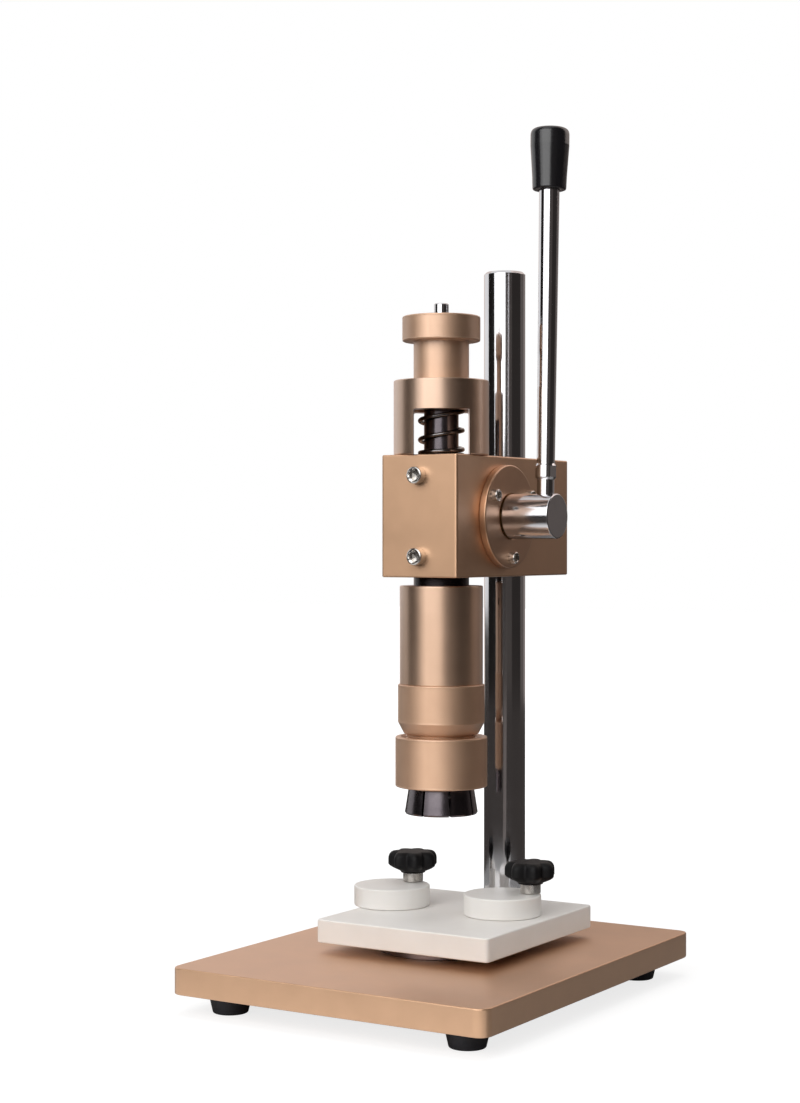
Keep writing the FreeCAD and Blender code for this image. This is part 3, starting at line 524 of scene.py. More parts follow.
def rectangle(low: Sequence[float], high: Sequence[float], corner: float = 0.0) -> Outline:
    """Make a counterclockwise rectangle, with rounded corners if they have a radius."""
    corners = [(low[0], low[1]), (high[0], low[1]), (high[0], high[1]), (low[0], high[1])]
    return softened(corners, corner, loop=True, steps=6) if corner else corners


def hexagon(across: float) -> Callable[[float], float]:
    """Make the radius function of a hexagon from its width across flats."""
    sixth = math.pi / 3
    return lambda angle: across / 2 / math.cos((angle + sixth / 2) % sixth - sixth / 2)


def ribbed(radius: float, depth: float, segments: int, row: int = 0) -> Callable[[float], float]:
    """Make a radius function that is lower at every second point, for knurling."""
    return lambda angle: radius - depth * ((round(angle * segments / (2 * math.pi)) + row) % 2)


def carve(piece: Piece, *cutters: Piece) -> Piece:
    """Cut other objects out of a piece, and remove them.

    Args:
        piece: The object that is cut.
        *cutters: The objects whose room is taken out.

    Returns:
        The piece, with its new mesh.
    """
    for cutter in cutters:
        cut = piece.modifiers.new("Cut", "BOOLEAN")
        cut.object = cutter
        cut.operation = "DIFFERENCE"
        cut.solver = "EXACT"
    graph = bpy.context.evaluated_depsgraph_get()
    mesh = bpy.data.meshes.new_from_object(piece.evaluated_get(graph))
    piece.modifiers.clear()
    piece.data = mesh
    for cutter in cutters:
        bpy.data.objects.remove(cutter)
    return piece


def dress(piece: Piece, finish: Finish, body: str, *nodes: str, sharp: float = 32.0) -> Piece:
    """Give a piece its finish and smooth shading, and hang it on its body.

    Args:
        piece: The new object.
        finish: What it is made of.
        body: The moving body that carries it.
        *nodes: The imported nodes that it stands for.
        sharp: Edges that turn by more degrees than this stay crisp.

    Returns:
        The piece.
    """
    piece.data.materials.clear()
    piece.data.materials.append(finish.build())
    piece.data.polygons.foreach_set("use_smooth", [True] * len(piece.data.polygons))
    piece.data.set_sharp_from_angle(angle=math.radians(sharp))
    piece.modifiers.new("Flat faces stay flat", "WEIGHTED_NORMAL").keep_sharp = True
    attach(piece, body)
    if nodes:
        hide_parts(*nodes)
    log.info("%s: %s on %s, %d faces", piece.name, finish.name, body, len(piece.data.polygons))
    return piece


def dress_node(name: str, finish: Finish, upper: Optional[Finish] = None, split: float = 0.0) -> None:
    """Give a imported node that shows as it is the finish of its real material.

    Args:
        name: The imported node.
        finish: What it is made of.
        upper: Another finish for what lies above the split, or none.
        split: The height where the two finishes meet, in millimetres.
    """
    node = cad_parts[name]
    mesh = node.data
    mesh.materials.clear()
    mesh.materials.append(finish.build())
    if upper:
        mesh.materials.append(upper.build())
        for face in mesh.polygons:
            face.material_index = int((node.matrix_world @ face.center).z > split * MM)
    log.info("%s: %s as packed", name, finish.name)


# Fasteners, springs and turned details

@dataclass(frozen=True)
class SocketScrew:
    """A cap screw with a hexagon socket and a ribbed head, for any seat."""

    head_radius: float
    head_height: float
    shank_radius: float
    shank_length: float
    rib_depth: float = 0.12
    edge_share: float = 0.12
    socket_share: float = 1.15
    floor_share: float = 0.45
    segments: int = 72

    def build(self, name: str, seat: Vector, outward: Vector) -> Piece:
        """Make the screw.

        Args:
            name: The new object's name.
            seat: Where the head's underside meets its seat.
            outward: The way the head points.

        Returns:
            The screw.
        """
        head, top, shank = self.head_radius, self.head_height, self.shank_radius
        edge = self.edge_share * top
        floor = self.floor_share * top
        core = head - self.rib_depth
        ribs = ribbed(head, self.rib_depth, self.segments)
        socket = hexagon(self.socket_share * head)
        stations: List[Station] = [
            (0, -self.shank_length), (0.8 * shank, -self.shank_length), (shank, 0.2 * shank - self.shank_length),
            (shank, 0), (core, 0), (ribs, 0.1 * edge), (ribs, top - 1.5 * edge), (core, top - edge),
            (head - 0.4 * edge, top - 0.5 * edge), (head - 1.2 * edge, top), (0.72 * head, top),
            (socket, top - 0.5 * edge), (socket, floor), (0, 0.8 * floor)]
        return turned(name, stations, facing(seat, outward), self.segments)


@dataclass(frozen=True)
class CountersunkScrew:
    """A flat-headed screw with a hexagon socket, seen from under the base."""

    head_radius: float = 4.8
    shank_radius: float = 2.5
    land: float = 0.2
    socket_depth: float = 1.6
    drill_tip: float = 2.2
    segments: int = 60

    def build(self, name: str, face: Vector, length: float) -> Piece:
        """Make the screw, with its head flush in the face and pointing down.

        Args:
            name: The new object's name.
            face: Where the head lies in the face.
            length: Its whole length.

        Returns:
            The screw.
        """
        head, shank = self.head_radius, self.shank_radius
        socket = hexagon(head)
        stations: List[Station] = [
            (0, -length), (shank, -length), (shank, shank - head), (head, -self.land), (head - 0.1, 0),
            (0.62 * head, 0), (socket, -self.land), (socket, -self.socket_depth), (0, -self.drill_tip)]
        return turned(name, stations, facing(face, -UP), self.segments)


def grub_screw(name: str, node: str) -> Piece:
    """Make a headless screw where its node lies, with its hexagon socket to the back.

    Args:
        name: The new object's name.
        node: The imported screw.

    Returns:
        The screw.
    """
    room = Extent.of(node)
    radius, length = room.radius, room.size.y
    socket = hexagon(radius)
    stations: List[Station] = [
        (0, -length), (0.6 * radius, -length), (radius, -0.8 * length), (radius, -0.1 * length),
        (0.85 * radius, 0), (0.7 * radius, 0), (socket, -0.1 * length), (socket, -0.5 * length),
        (0, -0.6 * length)]
    return turned(name, stations, facing(Vector((room.centre.x, room.high.y, room.centre.z)), BACK), 48)


@dataclass(frozen=True)
class CompressionSpring:
    """A spring with closed ends that are ground flat, which keeps a share of its length when squeezed."""

    wire_radius: float
    pitch: float
    keep: float
    closed_turns: float = 1.0
    steps_per_turn: int = 40
    wire_segments: int = 12

    def build(self, name: str, node: str, body: str, joint: str, anchor_low: bool) -> None:
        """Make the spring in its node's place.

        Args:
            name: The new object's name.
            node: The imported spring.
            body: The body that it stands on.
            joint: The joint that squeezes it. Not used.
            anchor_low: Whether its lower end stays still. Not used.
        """
        room = Extent.of(node)
        wire, closed = self.wire_radius, self.closed_turns
        low, high = room.low.z, room.high.z
        open_turns = (high - low - 4 * wire * closed) / self.pitch
        sections = []
        for step in range(round((open_turns + 2 * closed) * self.steps_per_turn) + 1):
            turn = step / self.steps_per_turn
            rise = (2 * wire * min(turn, closed) + self.pitch * min(max(turn - closed, 0), open_turns)
                    + 2 * wire * max(turn - closed - open_turns, 0))
            angle = 2 * math.pi * turn
            section = []
            for corner in range(self.wire_segments):
                round_wire = 2 * math.pi * corner / self.wire_segments
                reach = room.radius - wire + wire * math.cos(round_wire)
                height = low + rise + wire * math.sin(round_wire)
                section.append(Vector((room.centre.x + reach * math.cos(angle),
                                       room.centre.y + reach * math.sin(angle),
                                       min(max(height, low), high))))
            sections.append(section)
        piece = dress(skin(name, sections), SPRING_WIRE, body, node)
        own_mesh(piece)


@dataclass(frozen=True)
class Knurl:
    """Diamond knurling: rows of small pyramids rolled into a round face, between two plain rims."""

    pitch: float = 1.0
    depth: float = 0.16
    plain_rim: float = 1.2

    def segments(self, radius: float) -> int:
        """Count the points round a face, two for each pyramid."""
        return 2 * round(2 * math.pi * radius / self.pitch)

    def rows(self, radius: float, high: float, low: float) -> List[Station]:
        """Make the stations of a knurled face, from its upper to its lower rim.

        Args:
            radius: The face's outer radius.
            high: Height where the face starts.
            low: Height where it ends.

        Returns:
            One station for each half pitch.
        """
        first, last = high - self.plain_rim, low + self.plain_rim
        count = 2 * round((first - last) / self.pitch)
        around = self.segments(radius)
        return [(ribbed(radius, self.depth, around, row), first + (last - first) * row / count)
                for row in range(count + 1)]


@dataclass(frozen=True)
class Rim:
    """The broken edge of a turned face, with a point part of the way round it."""

    edge: float
    inset: float
    drop: float

    def upper(self, radius: float, height: float) -> List[Station]:
        """Make the stations from an upper face to the side below it."""
        return [(radius - self.edge, height), (radius - self.inset, height - self.drop),
                (radius, height - self.edge)]

    def lower(self, radius: float, height: float) -> List[Station]:
        """Make the stations from a side to the lower face."""
        return [(radius, height + self.edge), (radius - self.inset, height + self.drop),
                (radius - self.edge, height)]


# Sub-assemblies

@dataclass
class Base:
    """The base plate, with its four rubber feet and the screws under it."""

    corner: float = 8.0
    edge: float = 0.9
    column_screw_head: float = 4.9
    column_screw_shank: float = 5.0
    counterbore_gap: float = 0.3
    counterbore_depth: float = 5.0
    table_screw: CountersunkScrew = CountersunkScrew()
    sink_flare: float = 1.1
    sink_tip: float = 0.1
    foot_screw: SocketScrew = SocketScrew(head_radius=4.6, head_height=2.6, shank_radius=2.5,
                                          shank_length=11.5)
    foot_hole: float = 2.6
    foot_hollow_gap: float = 0.3
    foot_web: float = 3.5
    foot_lip: float = 2.0
    foot_bottom_radius: float = 9.8
    foot_top_radius: float = 12.0
    foot_round: float = 1.2

    def build(self) -> None:
        """Make the base, its feet and its screws."""
        room = Extent.of("base_plate")
        bolt = Extent.of("column_screw")
        screws = Extent.of("table_screws")
        face = room.low.z
        outline = rectangle(room.low, room.high, self.corner)
        base = plate("base_plate_body", outline, face, room.high.z, self.edge)
        wide = bolt.radius + self.counterbore_gap
        cutters = [turned("counterbore", [(wide, face - PAST), (wide, bolt.low.z + self.counterbore_depth)],
                          bolt.axis)]
        head = self.table_screw.head_radius
        for number, x in enumerate((screws.low.x + head, screws.high.x - head), 1):
            centre = Vector((x, screws.centre.y, 0))
            sink = [(head + self.sink_flare, face - PAST), (self.sink_tip, face + head)]
            cutters.append(turned("countersink", sink, Matrix.Translation(centre), 60))
            dress(self.table_screw.build("table_screw_%d" % number, centre + UP * face, screws.size.z),
                  ZINC_PLATE, "stand", "table_screws")
        dress(carve(base, *cutters), BLASTED_ALUMINIUM, "stand", "base_plate")
        big = SocketScrew(bolt.radius, self.column_screw_head, self.column_screw_shank,
                          bolt.size.z - self.column_screw_head)
        seat = Vector((bolt.centre.x, bolt.centre.y, bolt.low.z + self.column_screw_head))
        dress(big.build("column_fixing_screw", seat, -UP), ZINC_PLATE, "stand", "column_screw")
        self.build_feet()

    def build_feet(self) -> None:
        """Make the feet and the pan-headed screws in their hollows."""
        room = Extent.of("rubber_feet")
        top = self.foot_top_radius
        hollow = self.foot_screw.head_radius + self.foot_hollow_gap
        web = room.high.z - self.foot_web
        profile = softened([(self.foot_hole, room.high.z), (top, room.high.z), (top, room.high.z - self.foot_lip),
                            (self.foot_bottom_radius, room.low.z), (hollow, room.low.z), (hollow, web),
                            (self.foot_hole, web)], self.foot_round, loop=True, steps=4)
        corners = product((room.low.x + top, room.high.x - top), (room.low.y + top, room.high.y - top))
        for number, (x, y) in enumerate(corners, 1):
            foot = turned("rubber_foot_%d" % number, profile, Matrix.Translation((x, y, 0)), ring=True)
            dress(foot, RUBBER, "stand", "rubber_feet")
            screw = self.foot_screw.build("foot_screw_%d" % number, Vector((x, y, web)), -UP)
            dress(screw, ZINC_PLATE, "stand", "foot_screws")


@dataclass
class Column:
    """The hard-chromed bar that the head slides on."""

    chamfer: float = 1.5
    edge: float = 0.4

    def build(self) -> None:
        """Make the column with its chamfered top."""
        room = Extent.of("column")
        profile = bar(room.low.z, room.high.z, room.radius, self.edge, self.chamfer)
        dress(turned("column_bar", profile, room.axis, FINE), HARD_CHROME, "stand", "column")


@dataclass
class BottleTable:
    """The white table on its black riser."""

    corner: float = 3.0
    edge: float = 0.9
    notch_radius: float = 13.8
    notch_steps: int = 24
    riser_edge: float = 0.5

    def build(self) -> None:
        """Make the table with its notch for the column, and the riser."""
        room = Extent.of("bottle_table")
        column = Extent.of("column").centre
        notch = self.notch_radius
        outline = softened([(column.x - notch, room.high.y), (room.low.x, room.high.y),
                            (room.low.x, room.low.y), (room.high.x, room.low.y),
                            (room.high.x, room.high.y), (column.x + notch, room.high.y)], self.corner, steps=6)
        for step in range(self.notch_steps + 1):
            turn = -math.pi * step / self.notch_steps
            outline.append((column.x + notch * math.cos(turn), column.y + notch * math.sin(turn)))
        dress(plate("table_top", outline, room.low.z, room.high.z, self.edge), ACETAL, "stand", "bottle_table")
        riser = Extent.of("table_riser")
        profile = bar(riser.low.z, riser.high.z, riser.radius, self.riser_edge)
        dress(turned("riser_disc", profile, riser.axis, FINE), BLACK_OXIDE, "stand", "table_riser")


class Side(Enum):
    """The two sides of the press."""

    LEFT = "left"
    RIGHT = "right"


@dataclass
class BottleStop:
    """An eccentric stop disc with its stud and star knob."""

    side: Side
    disc_edge: float = 1.0
    stud_radius: float = 3.0
    stud_gap: float = 0.05
    stud_edge: float = 0.4
    hub_radius: float = 6.0
    hub_gap: float = 0.3
    lobes: int = 7
    lobe_steps: int = 28
    lobe_fullness: float = 0.8
    star_radius: float = 15.0
    waist_radius: float = 11.6
    foot_radius: float = 7.6
    foot_draw: float = 0.95
    taper_low: float = 0.8
    taper_height: float = 4.4
    taper_shares: Tuple[float, ...] = (0.0, 0.1, 0.3, 0.5, 0.7, 0.85, 0.95, 1.0)
    crown_height: float = 4.6
    crown_draw: float = 0.27
    crown_steps: int = 5

    def build(self) -> None:
        """Make the disc, the stud and the knob."""
        name = self.side.value
        disc = Extent.of(name + "_stop_disc")
        stud = Extent.of(name + "_knob_stud")
        knob = Extent.of(name + "_star_knob")
        profile = bar(disc.low.z, disc.high.z, disc.radius, self.disc_edge, steps=5)
        piece = turned(name + "_disc", profile, disc.axis, FINE)
        bore = self.stud_radius + self.stud_gap
        cutter = turned("bore", [(bore, disc.low.z - PAST), (bore, disc.high.z + PAST)], stud.axis, 48)
        dress(carve(piece, cutter), ACETAL, name + "_disc", name + "_stop_disc")
        thin, thick = self.stud_radius, self.hub_radius
        hub_low = disc.high.z + self.hub_gap
        profile = softened([(0, stud.low.z), (thin, stud.low.z), (thin, hub_low), (thick, hub_low),
                            (thick, knob.low.z), (thin, knob.low.z), (thin, stud.high.z), (0, stud.high.z)],
                           self.stud_edge)
        dress(turned(name + "_stud", profile, stud.axis, 64), ZINC_PLATE, name + "_knob", name + "_knob_stud")
        dress(self.star(name + "_star", knob, stud.axis), NYLON, name + "_knob", name + "_star_knob")

    def reach(self, angle: float) -> float:
        """Give the star's radius at an angle: lobes and waists in one smooth wave."""
        wave = 0.5 + 0.5 * math.cos(self.lobes * angle)
        return self.waist_radius + (self.star_radius - self.waist_radius) * wave ** self.lobe_fullness

    def star(self, name: str, knob: Extent, axis: Matrix) -> Piece:
        """Make the star: lobes that are rounded at the top and taper to a round foot on the stud.

        Args:
            name: The new object's name.
            knob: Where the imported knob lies.
            axis: The stud's axis.

        Returns:
            The star.
        """
        stations: List[Station] = [(self.foot_draw * self.foot_radius, knob.low.z)]
        for share in self.taper_shares:
            spread = math.sin(math.pi / 2 * share)
            stations.append((lambda angle, spread=spread:
                             self.foot_radius + (self.reach(angle) - self.foot_radius) * spread,
                             knob.low.z + self.taper_low + self.taper_height * share))
        for step in range(self.crown_steps + 1):
            turn = math.pi / 2 * step / self.crown_steps
            drawn = 1 - self.crown_draw * (1 - math.cos(turn))
            stations.append((lambda angle, drawn=drawn: drawn * self.reach(angle),
                             knob.high.z - self.crown_height * (1 - math.sin(turn))))
        return turned(name, stations, axis, self.lobes * self.lobe_steps)


@dataclass
class HeadBlock:
    """The clamped block, its screws and the bearing flange on its right side."""

    corner: float = 1.5
    edge: float = 0.9
    slot_width: float = 2.0
    bore_gap: float = 0.05
    bore_flare: float = 1.4
    bore_lead: float = 0.4
    seat_gap: float = 0.02
    counterbore_radius: float = 7.0
    counterbore_depth: float = 9.0
    counterbore_flare: float = 1.5
    counterbore_lead: float = 0.5
    clamp_head_radius: float = 6.5
    clamp_head_height: float = 8.0
    clamp_shank_radius: float = 4.0
    guide_head_radius: float = 5.0
    guide_head_height: float = 6.0
    guide_shank_radius: float = 3.0
    guide_tip: float = 2.7
    flange_edge: float = 0.9
    flange_bore: float = 13.02
    flange_screw: SocketScrew = SocketScrew(head_radius=3.5, head_height=4.0, shank_radius=2.0,
                                            shank_length=11.5)
    flange_screws: int = 3
    flange_screw_circle: float = 24.0
    flange_screw_start: float = 30.0

    def build(self) -> None:
        """Make the block and everything bolted to it."""
        room = Extent.of("head_block")
        column = Extent.of("column")
        bush = Extent.of("lower_guide_bush")
        clamps = Extent.of("clamp_screws")
        low, high = room.low.z, room.high.z
        block = plate("block_body", rectangle(room.low, room.high, self.corner), low, high, self.edge)
        bore = column.radius + self.bore_gap
        mouth = bore + self.bore_flare
        seat = bush.radius + self.seat_gap
        half = self.slot_width / 2
        past = 2 * PAST
        cutters = [
            turned("bore", [(mouth, low - PAST), (bore, low + self.bore_lead), (bore, high - self.bore_lead),
                            (mouth, high + PAST)], column.axis, FINE),
            turned("seat", [(seat, low - PAST), (seat, bush.high.z)], bush.axis, FINE),
            plate("slot", rectangle((-half, column.centre.y), (half, room.high.y + past)), low - past,
                  high + past, 0)]
        clamp = SocketScrew(self.clamp_head_radius, self.clamp_head_height, self.clamp_shank_radius,
                            clamps.size.x - self.clamp_head_height)
        wide, depth = self.counterbore_radius, self.counterbore_depth
        heights = (clamps.low.z + clamp.head_radius, clamps.high.z - clamp.head_radius)
        for number, z in enumerate(heights, 1):
            face = Vector((room.low.x, clamps.centre.y, z))
            hollow = [(wide + self.counterbore_flare, -PAST), (wide, self.counterbore_lead), (wide, depth)]
            cutters.append(turned("counterbore", hollow, facing(face, RIGHT)))
            dress(clamp.build("clamp_screw_%d" % number, face + RIGHT * depth, -RIGHT), ZINC_PLATE, "head",
                  "clamp_screws")
        dress(carve(block, *cutters), BLASTED_ALUMINIUM, "head", "head_block")
        self.build_guides()
        self.build_flange()

    def build_guides(self) -> None:
        """Make the two cap screws whose tips run in the ram's keyway."""
        room = Extent.of("guide_screws")
        guide = SocketScrew(self.guide_head_radius, self.guide_head_height, self.guide_shank_radius,
                            room.size.y - self.guide_head_height - self.guide_tip)
        heights = (room.low.z + guide.head_radius, room.high.z - guide.head_radius)
        for number, z in enumerate(heights, 1):
            seat = Vector((room.centre.x, room.low.y + guide.head_height, z))
            dress(guide.build("guide_screw_%d" % number, seat, -BACK), ZINC_PLATE, "head", "guide_screws")

    def build_flange(self) -> None:
        """Make the bearing flange and its screws on the block's right face."""
        face = Extent.of("head_block").high.x
        room = Extent.of("bearing_flange")
        thickness = room.high.x - face
        centre = Vector((face, room.centre.y, room.centre.z))
        profile = sleeve(0, thickness, self.flange_bore, room.size.y / 2, self.flange_edge)
        dress(turned("flange_disc", profile, facing(centre, RIGHT), FINE, ring=True), FACED_ALUMINIUM, "head",
              "bearing_flange")
        for index in range(self.flange_screws):
            angle = math.radians(self.flange_screw_start + 360 / self.flange_screws * index)
            seat = centre + Vector((thickness, self.flange_screw_circle * math.cos(angle),
                                    self.flange_screw_circle * math.sin(angle)))
            dress(self.flange_screw.build("flange_screw_%d" % (index + 1), seat, RIGHT), ZINC_PLATE, "head",
                  "flange_screws")


@dataclass
class SpringCage:
    """The windowed cage on the block, and the return spring inside it."""

    edge: float = 0.9
    bore: float = 16.5
    ring_height: float = 17.3
    window_width: float = 32.0
    window_corner: float = 1.2
    window_turn: float = 31.0
    window_past: float = 5.0
    spring: CompressionSpring = CompressionSpring(wire_radius=1.25, pitch=11.0, keep=0.6)

    def build(self) -> None:
        """Make the cage with its window through both sides, and the spring."""
        room = Extent.of("spring_cage")
        floor = Extent.of("head_block").high.z
        profile = sleeve(floor, room.high.z, self.bore, room.radius, self.edge)
        cage = turned("cage_body", profile, room.axis, FINE, ring=True)
        turn = Matrix.Rotation(math.radians(self.window_turn), 4, "Z") @ Matrix.Rotation(math.pi / 2, 4, "X")
        half = self.window_width / 2
        outline = rectangle((-half, floor - self.window_past), (half, room.high.z - self.ring_height),
                            self.window_corner)
        window = plate("window", outline, -room.size.x, room.size.x, 0, room.axis @ turn)
        dress(carve(cage, window), TURNED_ALUMINIUM, "head", "spring_cage")
        self.spring.build("return_coil", "return_spring", "head", "ram_press", True)


@dataclass
class Lever:
    """The hub on the pinion shaft, with the lever rod and its grip."""

    lean: float = 1.5
    hub_edge: float = 0.9
    fit: float = 0.03
    hole_flare: float = 1.2
    tapped_depth: float = 5.0
    tapped_flare: float = 0.6
    foot_radius: float = 5.0
    foot_depth: float = 3.5
    boss_low: float = 21.5
    boss_high: float = 30.0
    boss_radius: float = 6.1
    flats: float = 9.6
    rod_low_radius: float = 5.2
    rod_top_radius: float = 6.0
    length: float = 224.0
    grip_length: float = 35.6
    socket_depth: float = 22.0
    socket_gap: float = 0.3
    grip_low_radius: float = 9.75
    grip_high_radius: float = 11.25
    grip_straight: float = 10.0
    grip_foot: float = 8.0
    grip_edge: float = 1.0
    crown: float = 4.0

    @property
    def axis(self) -> Matrix:
        """The lever's axis, which starts in the middle of the hub and leans back."""
        hub = Extent.of("lever_hub").centre
        pivot = Vector((Extent.of("lever_grip").centre.x, hub.y, hub.z))
        return Matrix.Translation(pivot) @ Matrix.Rotation(math.radians(-self.lean), 4, "X")

    def build(self) -> None:
        """Make the hub, the rod and the grip."""
        hub = Extent.of("lever_hub")
        grub = Extent.of("hub_set_screw")
        radius = hub.size.y / 2
        profile = bar(0, hub.size.x, radius, self.hub_edge, steps=4)
        body = turned("hub_body", profile, facing(Vector((hub.low.x, hub.centre.y, hub.centre.z)), RIGHT), FINE)
        wide = self.foot_radius + self.fit
        hole = turned("hole", [(wide, -self.foot_depth), (wide, radius - 0.6),
                               (self.foot_radius + self.hole_flare, radius + 0.6)], self.axis)
        thread = grub.radius + self.fit
        tapped = turned("tapped", [(thread, radius - self.tapped_depth), (thread, radius - 0.5),
                                   (grub.radius + self.tapped_flare, radius + 0.2)],
                        facing(Vector((grub.centre.x, hub.centre.y, hub.centre.z)), BACK), 48)
        dress(carve(body, hole, tapped), POLISHED_CHROME, "lever", "lever_hub")
        dress(grub_screw("hub_grub_screw", "hub_set_screw"), BLACK_OXIDE, "lever", "hub_set_screw")
        self.build_rod()
        self.build_grip()

    def flatted(self, angle: float) -> float:
        """Give the boss's radius at an angle: a circle cut by two spanner flats."""
        return min(self.boss_radius, self.flats / 2 / max(abs(math.cos(angle)), TINY))

    def build_rod(self) -> None:
        """Make the rod with its foot, its boss with two spanner flats, and its long taper."""
        foot, boss, rod = self.foot_radius, self.boss_radius, self.rod_low_radius
        low, high = self.boss_low, self.boss_high
        rod_end = self.length - self.grip_length + self.socket_depth
        stations: List[Station] = [
            (0, -self.foot_depth), (foot, -self.foot_depth), (foot, low - 0.4), (foot + 0.3, low),
            (boss - 0.5, low + 0.2), (boss, low + 1.0), (self.flatted, low + 1.1), (self.flatted, high - 1.1),
            (boss, high - 1.0), (boss - 0.5, high - 0.2), (rod + 0.3, high), (rod, high + 0.6),
            (self.rod_top_radius, rod_end), (0, rod_end)]
        dress(turned("lever_bar", stations, self.axis), HARD_CHROME, "lever", "lever_rod")

    def build_grip(self) -> None:
        """Make the moulded grip, open where the rod goes in."""
        low = self.length - self.grip_length
        foot = low + self.grip_foot
        hollow = self.rod_top_radius + 0.02
        end = low + self.socket_depth + self.socket_gap
        outer = softened([(hollow, low), (self.grip_low_radius, low),
                          (self.grip_high_radius, self.length - self.grip_straight),
                          (self.grip_high_radius, self.length), (0, self.length)], self.crown, steps=8)
        bottom = softened([(0, end), (hollow, end), (hollow, low), (self.grip_low_radius, low),
                           (self.grip_low_radius + 0.3, foot)], self.grip_edge, steps=5)
        upper = [corner for corner in outer if corner[1] > foot]
        dress(turned("grip_body", bottom + upper, self.axis), PHENOLIC, "lever", "lever_grip")


@dataclass
class CrimpingHead:
    """The barrel on the ram, the coupling band and the closing collar."""

    knurl: Knurl = Knurl()
    edge: float = 0.9
    barrel_bore: float = 17.5
    barrel_overlap: float = 0.2
    spigot_bore: float = 12.03
    spigot_length: float = 24.5
    screw_fit: float = 0.03
    screw_flare: float = 0.7
    thread_radius: float = 20.5
    thread_fit: float = 0.03
    thread_pitch: float = 1.5
    thread_depth: float = 0.7
    band_rim: Rim = Rim(edge=0.5, inset=0.1, drop=0.2)
    band_height: float = 22.0
    taper_height: float = 6.3
    taper_radius: float = 21.5
    neck_bore: float = 16.2
    collar_rim: Rim = Rim(edge=0.8, inset=0.2, drop=0.25)
    dish_radius: float = 23.5
    dish_depth: float = 3.0
    mouth_radius: float = 19.05
    mouth_edge: float = 0.3
    mouth_height: float = 12.0
    jaw_spring: CompressionSpring = CompressionSpring(wire_radius=1.5, pitch=13.0, keep=0.72)
    rod_drop: float = 8.2

    @property
    def axis(self) -> Matrix:
        """The ram's axis."""
        return Extent.of("ram").axis

    def build(self) -> None:
        """Make the three gold pieces and the jaw spring, and dress the ram and its black rod."""
        self.build_barrel()
        self.build_band()
        self.build_collar()
        self.jaw_spring.build("jaw_coil", "jaw_spring", "ram", "stem_lift", False)
        dress_node("ram", NEAR_BLACK_STEEL, BLACK_OXIDE, Extent.of("head_block").high.z - self.rod_drop)

    def build_barrel(self) -> None:
        """Make the plain barrel, with its set screw at the back."""
        room = Extent.of("barrel")
        grub = Extent.of("barrel_set_screw")
        radius, bore, spigot = room.radius, self.barrel_bore, self.spigot_bore
        low = Extent.of("coupling_band").high.z - self.barrel_overlap
        step = room.high.z - self.spigot_length
        profile = softened([(spigot, room.high.z), (radius, room.high.z), (radius, low), (bore, low),
                            (bore, step), (spigot, step)], self.edge, loop=True, steps=4)
        barrel = turned("barrel_body", profile, self.axis, FINE, ring=True)
        thread = grub.radius + self.screw_fit
        hole = turned("hole", [(thread, spigot - PAST), (thread, radius - 0.5),
                               (grub.radius + self.screw_flare, radius + 0.4)],
                      facing(Vector((grub.centre.x, room.centre.y, grub.centre.z)), BACK), 48)
        dress(carve(barrel, hole), TURNED_ALUMINIUM, "ram", "barrel")
        dress(grub_screw("barrel_grub_screw", "barrel_set_screw"), BLACK_OXIDE, "ram", "barrel_set_screw")

    def build_band(self) -> None:
        """Make the band: a knurled grip, a plain taper and the threaded neck below."""
        room = Extent.of("coupling_band")
        radius, thread, pitch = room.radius, self.thread_radius, self.thread_pitch
        low = room.high.z - self.band_height
        taper = low - self.taper_height
        stations: List[Station] = [(self.neck_bore, room.high.z)]
        stations += self.band_rim.upper(radius, room.high.z) + self.knurl.rows(radius, room.high.z, low)
        stations += [(radius, low + 0.6), (radius, low + 0.3), (radius - 0.25, low - 0.2),
                     (self.taper_radius + 0.2, taper + 0.3), (self.taper_radius - 0.1, taper), (thread, taper)]
        for turn in range(int((taper - room.low.z) / pitch)):
            top = taper - 0.4 - pitch * turn
            stations += [(thread - self.thread_depth, top - 0.3 * pitch), (thread, top - 0.7 * pitch)]
        stations += [(thread, room.low.z), (self.neck_bore, room.low.z)]
        dress(turned("band_body", stations, self.axis, self.knurl.segments(radius), ring=True),
              KNURLED_ALUMINIUM, "ram", "coupling_band", sharp=16)

    def build_collar(self) -> None:
        """Make the knurled collar, dished at its top and open below for the jaws."""
        room = Extent.of("closing_collar")
        radius, low, high = room.radius, room.low.z, room.high.z
        bore, mouth = self.thread_radius + self.thread_fit, self.mouth_radius
        ledge = low + self.mouth_height
        stations: List[Station] = [(bore, high - self.dish_depth), (self.dish_radius, high)]
        stations += self.collar_rim.upper(radius, high) + self.knurl.rows(radius, high, low)
        stations += self.collar_rim.lower(radius, low)
        stations += [(mouth + self.mouth_edge, low), (mouth, low + self.mouth_edge), (mouth, ledge),
                     (bore, ledge)]
        dress(turned("collar_body", stations, self.axis, self.knurl.segments(radius), ring=True),
              KNURLED_ALUMINIUM, "ram", "closing_collar", sharp=16)


